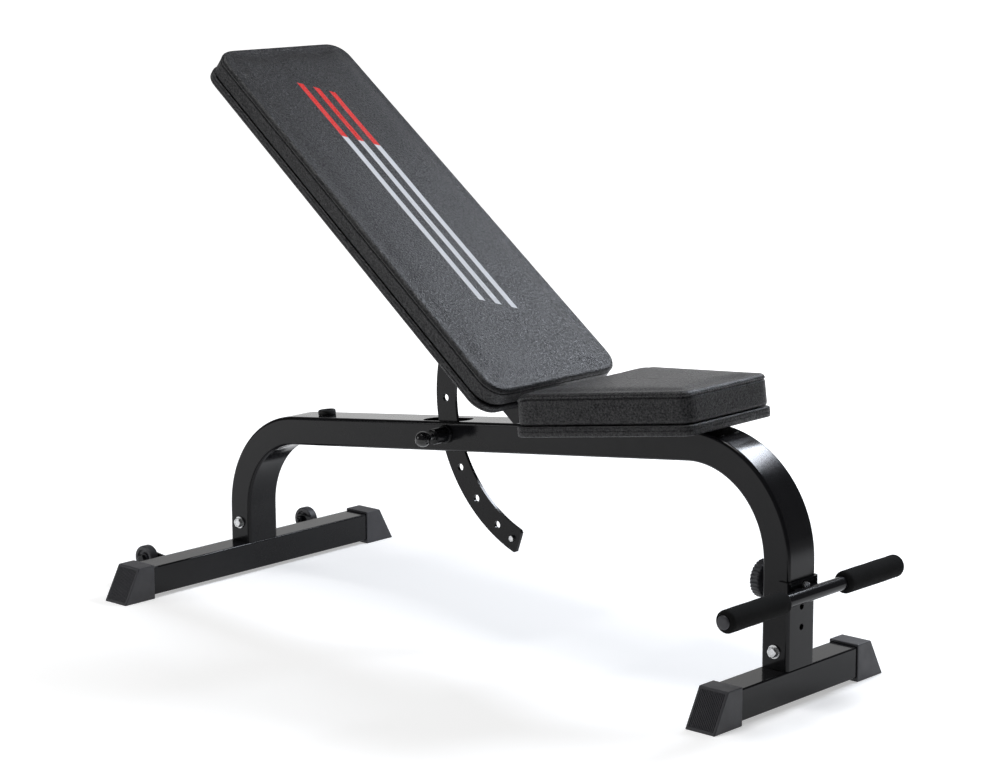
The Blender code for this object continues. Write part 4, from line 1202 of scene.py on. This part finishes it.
def ribbed_ring(radius, z, share):
    """A ring with the knob's ribs, at a share of their full height."""
    ring = []
    steps = KNOB_STEPS
    for i in range(steps):
        angle = math.tau * i / steps
        reach = radius + share * KNOB_RIB * math.cos(angle * KNOB_RIBS)
        ring.append((reach * math.cos(angle), reach * math.sin(angle), z))
    return ring


def make_lock_knob():
    """The washer, and the knob: a hub towards the leg, ribbed sides and a dished back."""
    low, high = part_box("knob_washer")
    centre = (low + high) / 2
    bm = ring_mesh((high.z - low.z) / 2, CLAMP_HOLE, high.x - low.x)
    piece("knob_washer", bm, ZINC, placed((low.x, centre.y, centre.z), (1, 0, 0)))
    low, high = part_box("lock_knob")
    radius = (high.z - low.z) / 2 - KNOB_RIB
    length = high.x - low.x
    hub_end = length - KNOB_THICKNESS
    hub_side = [(CLAMP_HOLE, 0), (KNOB_HUB - 0.0005, 0), (KNOB_HUB, 0.0005)]
    hub_side += [(KNOB_HUB, hub_end - 0.001), (KNOB_HUB + 0.001, hub_end)]
    ribbed = [(radius - 0.0024, hub_end, 0.0), (radius - 0.0010, hub_end + 0.0006, 0.5)]
    ribbed += [(radius, hub_end + 0.0018, 1.0), (radius, length - 0.0030, 1.0)]
    ribbed += [(radius - 0.0008, length - 0.0014, 0.8), (radius - 0.0026, length - 0.0003, 0.3)]
    dish = [(radius - 0.0050, length), (radius - 0.0085, length - 0.0006)]
    dish += [(radius - 0.0100, length - 0.0016), (KNOB_HUB - 0.001, length - 0.0018)]
    dish += [(KNOB_HUB - 0.0025, length - 0.0002), (CLAMP_HOLE + 0.0006, length)]
    dish += [(CLAMP_HOLE, length - 0.0005)]
    rings = [round_ring(reach, z, KNOB_STEPS) for reach, z in hub_side]
    rings += [ribbed_ring(*ring) for ring in ribbed]
    rings += [round_ring(reach, z, KNOB_STEPS) for reach, z in dish]
    place = placed((high.x, centre.y, centre.z), (-1, 0, 0))
    piece("lock_knob", loft(rings, closed=True), PLASTIC, place, 38.0)


# --- Boards and pads ------------------------------------------------------------------------

OUTLINE_STEP = 0.0045
STITCH_LENGTH = 0.0042
STITCH_GAP = 0.0016
# How far the cloth lifts the middle of a pad's top, and pushes out its sides
CROWN = 0.0030
SIDE_BULGE = 0.0010
# The seam below a pad's top: its place, depth and half width, and the stitches beside it
SEAM_BELOW = 0.0085
SEAM_DEPTH = 0.0015
SEAM_HALF = 0.0011
STITCHES_ABOVE = 0.0026
EDGE_DROP = 0.0006
# How much of its full fall a rounded rear end keeps
FALL_SHARE = 0.55
MOST_CLOTH_MOVE = 0.008
CLOTH_FRAMES = 20


def tapered_outline(back, front, half_back, half_front, radius):
    """A rectangle in plan that narrows towards the front, with rounded corners."""
    corners = ((front, half_front), (back, half_back), (back, -half_back), (front, -half_front))
    points = []
    for i, corner in enumerate(corners):
        here = Vector(corner)
        before = (Vector(corners[i - 1]) - here).normalized()
        after = (Vector(corners[(i + 1) % 4]) - here).normalized()
        half_angle = before.angle(after) / 2
        centre = here + (before + after).normalized() * (radius / math.sin(half_angle))
        reach = radius / math.tan(half_angle)
        first = here + before * reach - centre
        last = here + after * reach - centre
        start = math.atan2(first.y, first.x)
        end = math.atan2(last.y, last.x)
        end += math.tau if end < start else 0
        points += arc(centre, radius, start, end, 15)
    return points


def even_steps(line, step, whole=round):
    """Even steps along a line of points: the stretch that each one is on, and its place."""
    lengths = [0.0]
    for first, second in zip(line, line[1:]):
        lengths.append(lengths[-1] + (second - first).length)
    count = whole(lengths[-1] / step)
    found = []
    index = 0
    for i in range(count):
        target = lengths[-1] * i / count
        while lengths[index + 1] < target:
            index += 1
        share = (target - lengths[index]) / max(1e-9, lengths[index + 1] - lengths[index])
        found.append((index, line[index].lerp(line[index + 1], share)))
    return found


def evenly(points, step):
    """A closed line's points again, at even steps, with the outward direction at each."""
    closed = [Vector(point) for point in points]
    closed.append(closed[0])
    result = [place for _, place in even_steps(closed, step)]
    count = len(result)
    outward = []
    for i in range(count):
        along = result[(i + 1) % count] - result[i - 1]
        outward.append(Vector((along.y, -along.x)).normalized())
    return result, outward


class Pad:
    """One upholstered pad: its plan, its heights, and how it rounds down at its rear end."""

    # How far in from the outline the rings run straight, and how far in the last one lies
    straight = 0.016
    reach = 0.13

    def __init__(self, name, node, body, matrix, plan, look, fall=0.0):
        self.name, self.node, self.body = name, node, body
        self.matrix, self.plan, self.look, self.fall = matrix, plan, look, fall
        low, high = extent(node, matrix)
        self.bottom, self.top = low.z, high.z
        self.seam = self.top - SEAM_BELOW
        self.outline, self.outward = evenly(tapered_outline(*plan), OUTLINE_STEP)
        back, front, half_back, half_front, _ = plan
        shorter = min(half_back, half_front)
        self.spine = (back + shorter * 0.95, front - shorter * 0.95)

    def drop(self, point):
        """How far the top has rounded down at this point, near the pad's rear end."""
        short = self.fall - (point.x - self.plan[0])
        if short <= 0:
            return 0.0
        share = (point.z - self.bottom) / (self.top - self.bottom)
        round_fall = self.fall - math.sqrt(max(0.0, self.fall ** 2 - short ** 2))
        return round_fall * FALL_SHARE * share

    def towards_middle(self, point, inset, outward):
        """A point moved in from the outline, straight at first and then to the pad's spine."""
        if inset <= self.straight:
            return point - outward * inset
        x = min(max(point.x, self.spine[0]), self.spine[1])
        start = point - outward * self.straight
        share = (inset - self.straight) / (self.reach - self.straight)
        return start.lerp(Vector((x, 0)), share)


def smoothstep(value):
    value = min(max(value, 0.0), 1.0)
    return value * value * (3 - 2 * value)


def simulation_shape(pad):
    """A plain cushion a little smaller than the pad, for the cloth to start from."""
    shrink = 0.0035
    height = pad.top - pad.bottom
    low_edge, top_edge = 0.004, 0.007
    levels = [(0.004, pad.bottom), (0.0, pad.bottom + low_edge)]
    levels += [(0.0, pad.bottom + height * 0.5), (0.0, pad.top - top_edge - shrink)]
    levels += [(0.0025, pad.top - 0.003 - shrink), (top_edge, pad.top - shrink)]
    rings = []
    for inset, z in levels:
        ring = []
        for point, outward in zip(pad.outline, pad.outward):
            place = point - outward * (inset + shrink)
            ring.append((place.x, place.y, z))
        rings.append(ring)
    obj = from_bmesh(f"{pad.name}_cloth", loft(rings))
    remesh = obj.modifiers.new("remesh", "REMESH")
    remesh.mode = "VOXEL"
    remesh.voxel_size = 0.0055
    return as_mesh(obj)


def simulate(pad):
    """Blows a cushion up as cloth, holding its underside. Returns it and its points before."""
    obj = simulation_shape(pad)
    rest = [vertex.co.copy() for vertex in obj.data.vertices]
    group = obj.vertex_groups.new(name="held")
    held = [i for i, point in enumerate(rest) if point.z < pad.bottom + 0.0035]
    group.add(held, 1.0, "REPLACE")
    cloth = obj.modifiers.new("cloth", "CLOTH")
    settings = cloth.settings
    settings.quality = 5
    settings.mass = 0.35
    settings.tension_stiffness = 18.0
    settings.compression_stiffness = 12.0
    settings.shear_stiffness = 6.0
    settings.bending_stiffness = 0.6
    settings.use_pressure = True
    settings.uniform_pressure_force = 4.0
    settings.vertex_group_mass = "held"
    settings.effector_weights.gravity = 0.0
    cloth.collision_settings.use_collision = False
    cloth.collision_settings.use_self_collision = False
    cloth.point_cache.frame_start = 1
    cloth.point_cache.frame_end = CLOTH_FRAMES
    for step in range(1, CLOTH_FRAMES + 1):
        bpy.context.scene.frame_set(step)
    made = as_mesh(obj)
    bpy.context.scene.frame_set(1)
    for vertex, start in zip(made.data.vertices, rest):
        move = vertex.co - start
        if move.length > MOST_CLOTH_MOVE:
            vertex.co = start + move.normalized() * MOST_CLOTH_MOVE
    return made, rest


def pad_rings(pad):
    """(inset, height) of each ring, from the middle of the underside round to the top's middle."""
    rings = [(0.10, pad.bottom), (0.05, pad.bottom), (0.016, pad.bottom), (0.006, pad.bottom)]
    rings += [(0.0036, pad.bottom + 0.0004), (0.0018, pad.bottom + 0.0014)]
    rings += [(0.0008, pad.bottom + 0.0030)]
    start, end = pad.bottom + 0.0050, pad.seam - 0.0040
    steps = max(3, round((end - start) / 0.0035))
    rings += [(0.0002, start + (end - start) * i / steps) for i in range(steps + 1)]
    near_seam = (0.0004, 0.0009, 0.0016, STITCHES_ABOVE)
    for offset in (*(-reach for reach in reversed(near_seam)), 0.0, *near_seam):
        rings.append((0.0, pad.seam + offset))
    edge = 0.0062
    top = pad.top - EDGE_DROP
    centre_z = top - edge
    for i in range(1, 9):
        angle = math.pi / 2 * i / 8
        rings.append((edge - edge * math.cos(angle), centre_z + edge * math.sin(angle)))
    insets = (0.0085, 0.0110, 0.0140, 0.0180, 0.0225, 0.0280, 0.0340, 0.0410, 0.0490)
    insets += (0.0580, 0.0680, 0.0790, 0.0900, 0.1010, 0.1120, 0.1220, 0.1300)
    return rings + [(inset, top) for inset in insets]


def swollen_rings(pad, rings, cloth, rest):
    """The pad's rings of points, each moved as the cloth moved nearby."""
    tree = KDTree(len(rest))
    for index, point in enumerate(rest):
        tree.insert(point, index)
    tree.balance()
    moves = [vertex.co - start for vertex, start in zip(cloth.data.vertices, rest)]
    highest = max(move.z for move in moves)
    widest = max(math.hypot(move.x, move.y) for move in moves)
    rise = CROWN / highest if highest > 1e-4 else 0
    bulge = SIDE_BULGE / widest if widest > 1e-4 else 0
    laid = []
    for inset, z in rings:
        ring = []
        for point, outward in zip(pad.outline, pad.outward):
            place = pad.towards_middle(point, inset, outward)
            here = Vector((place.x, place.y, z))
            if z > pad.bottom + 0.002:
                total, move = 0, Vector()
                for _, found, distance in tree.find_n(here, 8):
                    weight = 1 / (distance + 0.002)
                    move += moves[found] * weight
                    total += weight
                move /= total
                flat_rise = smoothstep(inset / 0.03)
                here += Vector((move.x * bulge, move.y * bulge, move.z * rise * flat_rise))
            ring.append(here)
        laid.append(ring)
    relax(laid, 5)
    return laid


def sew(pad, rings, laid):
    """Presses the seam in, gathers the leather at it, and keeps the points within the pad."""
    for (inset, z), ring in zip(rings, laid):
        for index, outward in enumerate(pad.outward):
            here = ring[index]
            flat_out = Vector((outward.x, outward.y, 0))
            reach = (z - pad.seam) / SEAM_HALF
            if inset < 0.002 and abs(reach) < 3.5:
                here -= flat_out * SEAM_DEPTH * math.exp(-reach * reach)
            gather = noise.noise(Vector((index * 0.33, 0.0, 4.0)))
            fade = math.exp(-abs(z - pad.seam) / 0.006) if inset < 0.004 else math.exp(-inset / 0.010)
            here += flat_out * 0.0005 * gather * fade
            if inset > 0.012:
                soft = Vector((here.x * 9, here.y * 9, 2.0))
                here.z += 0.0006 * noise.noise(soft) * smoothstep((inset - 0.012) / 0.03)
            here.z = min(here.z, pad.top + CROWN)
            here.z -= pad.drop(here)
            limit = pad.outline[index] + outward * 0.0030
            if (Vector((here.x, here.y)) - limit).dot(outward) > 0:
                here.x, here.y = limit.x, limit.y


def strip_closed(rings):
    """A bmesh through rings of points, with its ends closed by strips."""
    bm = bmesh.new()
    made = join_rings(bm, rings)
    close_ring(bm, made[0])
    close_ring(bm, made[-1])
    return bm


def close_ring(bm, ring):
    """Fills a long thin ring by strips between its two sides."""
    count = len(ring)
    left = right = min(range(count), key=lambda i: ring[i].co.x)
    remaining = count - 1
    while remaining > 0:
        next_left, next_right = (left + 1) % count, (right - 1) % count
        corners = [ring[left], ring[next_left], ring[next_right], ring[right]]
        bm.faces.new(list(dict.fromkeys(corners)))
        left, right = next_left, next_right
        remaining -= 2


def relax(rings, rounds):
    """Evens out the small steps that the remesh leaves."""
    count = len(rings[0])
    for _ in range(rounds):
        before = [[point.copy() for point in ring] for ring in rings]
        for n in range(1, len(rings) - 1):
            for i in range(count):
                around = before[n][i - 1] + before[n][(i + 1) % count]
                across = before[n - 1][i] + before[n + 1][i]
                gap = (before[n + 1][i] - before[n - 1][i]).length
                share = 0.25 if gap > 0.006 else 0.0
                blend_in = before[n][i] * (1 - share) + across / 2 * share
                rings[n][i] = blend_in * 0.5 + around / 2 * 0.5


def stitches(name, line, outward, body):
    """Short sewn stitches along a closed line of points, each a rounded, slightly sunk bead."""
    bm = bmesh.new()
    closed = line + [line[0]]
    for index, place in even_steps(closed, STITCH_LENGTH + STITCH_GAP, int):
        along = (closed[index + 1] - closed[index]).normalized()
        out = outward[index % len(outward)]
        side = out.cross(along).normalized()
        out = along.cross(side)
        turn = Matrix((along, side, out)).transposed().to_4x4()
        bead(bm, Matrix.Translation(place) @ turn)
    finished(from_bmesh(name, bm, UNMOVED, 60.0), THREAD, body)


def bead(bm, matrix):
    """Adds one stitch along the matrix's X axis."""
    half, wide, high = STITCH_LENGTH / 2, 0.00042, 0.00034
    swells = ((-0.92, 0.55), (-0.6, 0.95), (0.0, 1.0), (0.6, 0.95), (0.92, 0.55))
    rings = [[matrix @ Vector((-half, 0, 0))]]
    for x, scale in swells:
        ring = []
        for i in range(8):
            angle = math.tau * i / 8
            point = Vector((x * half, math.cos(angle) * wide * scale, math.sin(angle) * high * scale))
            ring.append(matrix @ point)
        rings.append(ring)
    rings.append([matrix @ Vector((half, 0, 0))])
    join_rings(bm, rings)


def make_pad(pad):
    """A padded cushion: even rings swollen as the cloth swelled, with its seam sewn in."""
    cloth, rest = simulate(pad)
    rings = pad_rings(pad)
    laid = swollen_rings(pad, rings, cloth, rest)
    sew(pad, rings, laid)
    obj = from_bmesh(pad.name, strip_closed(laid), pad.matrix, 80.0)
    subdivide = obj.modifiers.new("subdivision", "SUBSURF")
    subdivide.levels = 1
    subdivide.render_levels = 1
    obj = as_mesh(obj)
    obj.data.shade_smooth()
    bpy.data.objects.remove(cloth)
    finished(obj, pad.look, pad.body, [pad.node])
    above_seam = rings.index((0.0, pad.seam + STITCHES_ABOVE))
    turn = pad.matrix.to_3x3()
    outward = [turn @ Vector((out.x, out.y, 0)) for out in pad.outward]
    line = [pad.matrix @ point + out * 0.00002 for point, out in zip(laid[above_seam], outward)]
    stitches(f"{pad.name}_stitches", line, outward, pad.body)


def wrapped_board(node, matrix, plan, skirt=0.0):
    """A plywood board in leather: a soft-edged band with a shallow line round its middle.

    The skirt is how far the band hangs below the board.
    """
    outline, outward = evenly(tapered_outline(*plan), 0.006)
    lowest, highest = extent(node, matrix)
    low, high = lowest.z, highest.z
    height = high - low
    hem = low - skirt
    levels = [(0.040, low), (0.010, low)]
    if skirt:
        levels += [(0.0050, low - 0.0001), (0.0044, hem + 0.0004)]
    levels += [(0.0028, hem), (0.0012, hem + 0.0005), (0.0004, hem + 0.0014), (0.0, low + 0.0028)]
    for inset, share in ((0.0, 0.36), (0.0001, 0.40), (0.0007, 0.43), (0.0001, 0.46), (0.0, 0.50)):
        levels.append((inset, low + height * share))
    levels += [(0.0, high - 0.0028), (0.0004, high - 0.0014), (0.0012, high - 0.0005)]
    levels += [(0.0028, high), (0.010, high), (0.040, high)]
    rings = []
    for inset, z in levels:
        ring = []
        for index, (point, out) in enumerate(zip(outline, outward)):
            wave = 0.00018 * noise.noise(Vector((index * 0.21, z * 40, 7.0)))
            place = point - out * (inset + 0.0001 + abs(wave) * (inset < 0.002))
            ring.append((place.x, place.y, z))
        rings.append(ring)
    piece(node, strip_closed(rings), LEATHER, matrix, 70.0)


FELT_INSET = 0.011
STAPLE_INSET = 0.017
STAPLE_PITCH = 0.032
STAPLE_HALF = (0.005, 0.0006)


def underside(name, body, matrix, plan, low):
    """The felt on a board's underside, and the row of staples that holds it."""
    outline = tapered_outline(*inset_plan(plan, FELT_INSET, 0.006))
    cloth = plate(name, [outline], 0.0002, matrix @ Matrix.Translation((0, 0, low - 0.0001)), 0)
    finished(cloth, DUST, body)
    points, outward = evenly(tapered_outline(*inset_plan(plan, STAPLE_INSET, 0.005)), STAPLE_PITCH)
    half_length, half_width = STAPLE_HALF
    corners_of_one = ((-1, -1), (1, -1), (1, 1), (-1, 1))
    bm = bmesh.new()
    for index, (point, out) in enumerate(zip(points, outward)):
        along = Vector((-out.y, out.x))
        skew = 0.35 * noise.noise(Vector((index * 1.7, 3.0, 1.0)))
        along = (along + out * skew).normalized()
        across = Vector((-along.y, along.x))
        corners = []
        for z in (low - 0.00022, low - 0.00002):
            for a, b in corners_of_one:
                place = point + along * half_length * a + across * half_width * b
                corners.append((place.x, place.y, z))
        add_block(bm, corners)
    staples = from_bmesh(f"{name}_staples", bm, matrix, 30.0)
    finished(staples, ZINC, body)


# Half widths at the upper or rear end and at the lower or front end, and the corner radius
BACK_HALVES = (0.131, 0.139)
BACK_CORNER = 0.032
SEAT_HALVES = (0.146, 0.091)
SEAT_CORNER = 0.014
PAD_INSET = 0.0012
SEAT_FALL = 0.027
SEAT_SKIRT = 0.0029


def inset_plan(plan, inset, least_radius=0.0):
    """A plan moved in all round. Its corner radius shrinks too where a least radius is given."""
    back, front, half_back, half_front, radius = plan
    if least_radius:
        radius = max(least_radius, radius - inset)
    return back + inset, front - inset, half_back - inset, half_front - inset, radius


def make_soft_goods():
    plan = (BACK_LOW.x, BACK_HIGH.x, *BACK_HALVES, BACK_CORNER)
    wrapped_board("backrest_board", IN_BACKREST, plan)
    underside("backrest_underside", "backrest", IN_BACKREST, plan, BACK_LOW.z)
    inner = inset_plan(plan, PAD_INSET)
    make_pad(Pad("backrest_pad_piece", "backrest_pad", "backrest", IN_BACKREST, inner, PRINTED))
    plan = (SEAT_LOW.x, SEAT_HIGH.x, *SEAT_HALVES, SEAT_CORNER)
    wrapped_board("seat_board", ALONG_BEAM, plan, SEAT_SKIRT)
    underside("seat_underside", "main_frame", ALONG_BEAM, plan, SEAT_LOW.z)
    inner = inset_plan(plan, PAD_INSET)
    make_pad(Pad("seat_pad_piece", "seat_pad", "main_frame", ALONG_BEAM, inner, LEATHER, SEAT_FALL))


# --- Scene ----------------------------------------------------------------------------------

# The floor's own light, a painted glow that is lower near the bench and full far from it, and the
# room's light in front and behind
FLOOR_GLOW = 0.40
FAR_GLOW = 0.98
GLOSS_LIGHT = (0.86, 0.91, 1.0)
ROOM_DARK = 0.08
ROOM_BRIGHT = 0.95


def make_floor():
    bm = turned([(0, 0), (2, 0), (8, 0), (60, 0)], 96)
    floor = from_bmesh("floor", bm)
    look = Look("studio_floor", (0.8, 0.8, 0.8), 0.7, Specular_IOR_Level=0.1)
    look.tint(look.noise(0.8, 2.0), (0.79, 0.79, 0.79), (0.81, 0.81, 0.81))
    look.set("Emission Color", (1.0, 1.0, 1.0, 1.0))
    # Painted light on the floor: its glow is low near the bench, so that the bench's shadow shows,
    # and rises to full far from it
    away = look.node("ShaderNodeVectorMath", operation="LENGTH")
    look.link(look.coordinates, away.inputs[0])
    glow = look.spread(away.outputs["Value"], 0.5, 1.8, FLOOR_GLOW, FAR_GLOW)
    # Painted shade on the floor: the glow fades past the bench's front end (+X) and far out on the
    # near side (-Y)
    x, y, _ = look.split()
    glow_dim_past_front = look.spread(x, 1.05, 1.6, 1.0, 0.15)
    glow_dim_near_side = look.spread(y, -2.2, -1.2, 0.35, 1.0)
    look.link(look.product(glow, glow_dim_past_front, glow_dim_near_side), look.shader.inputs["Emission Strength"])
    floor.data.materials.append(look.material)


def area_light(name, location, target, size, power, colour=(1, 1, 1)):
    """A rectangular light of a size in metres and a power in watts, aimed at a target."""
    data = bpy.data.lights.new(name, "AREA")
    data.shape = "RECTANGLE"
    data.size, data.size_y = size
    data.energy = power
    data.color = colour
    light = bpy.data.objects.new(name, data)
    bpy.context.scene.collection.objects.link(light)
    light.location = location
    aim = Vector(target) - Vector(location)
    light.rotation_mode = "QUATERNION"
    light.rotation_quaternion = aim.to_track_quat("-Z", "Y")


def make_lights():
    world = bpy.data.worlds.new("studio")
    bpy.context.scene.world = world
    room = Nodes(world, "Background", "Generated")
    room.set("Color", (1.0, 1.0, 1.0, 1.0))
    x, y, z = room.split()
    behind = room.spread(y, -0.1, 0.7, 0.0, 1.0)
    low = room.spread(z, 0.15, 0.55, 1.0, 0.25)
    lit = room.product(behind, low, room.spread(x, -0.3, 0.3, 1.0, 0.1))
    strength = room.spread(lit, 0.0, 1.0, ROOM_DARK, ROOM_BRIGHT)
    room.link(strength, room.shader.inputs["Strength"])
    area_light("gloss", (0.5, 1.42, 1.72), (0, 0, 0.5), (0.9, 0.42), 36, GLOSS_LIGHT)
    area_light("overhead", (-0.1, -0.5, 3.2), (0, 0, 0.2), (1.4, 0.9), 48)
    area_light("near_fill", (-2.2, -2.6, 1.3), (0, 0, 0.3), (1.2, 1.2), 15)


def make_camera():
    azimuth, elevation = math.radians(CAMERA_AZIMUTH), math.radians(CAMERA_ELEVATION)
    flat = math.cos(elevation)
    back = Vector((math.sin(azimuth) * flat, -math.cos(azimuth) * flat, math.sin(elevation)))
    data = bpy.data.cameras.new("camera")
    data.lens = CAMERA_LENS
    data.sensor_width = 36.0
    data.clip_end = 200.0
    camera = bpy.data.objects.new("camera", data)
    bpy.context.scene.collection.objects.link(camera)
    camera.location = Vector(CAMERA_TARGET) + back * CAMERA_DISTANCE
    camera.rotation_mode = "QUATERNION"
    roll = Matrix.Rotation(math.radians(CAMERA_ROLL), 3, "Z").to_quaternion()
    camera.rotation_quaternion = (-back).to_track_quat("-Z", "Y") @ roll
    bpy.context.scene.camera = camera


def dress_hidden_nodes():
    """The CAD nodes that stay: the spigots inside the legs and the spring in the barrel."""
    for node, look in (("rear_spigot", STEEL), ("front_spigot", STEEL), ("pin_spring", ZINC)):
        mesh = NODES[node].data
        mesh.materials.clear()
        mesh.materials.append(look)


make_main_tube()
for end in ("rear", "front"):
    make_crossbar(end)
    for label in ("near", "far"):
        make_cap(f"{end}_cap_{label}")
make_bumper()
make_ears()
make_arms()
make_sector()
make_flat_plates()
make_fasteners()
make_pin()
make_wheels()
make_foot_bar()
make_lock_knob()
make_soft_goods()
dress_hidden_nodes()
make_floor()
make_lights()
make_camera()
bpy.context.scene.view_settings.view_transform = "Standard"
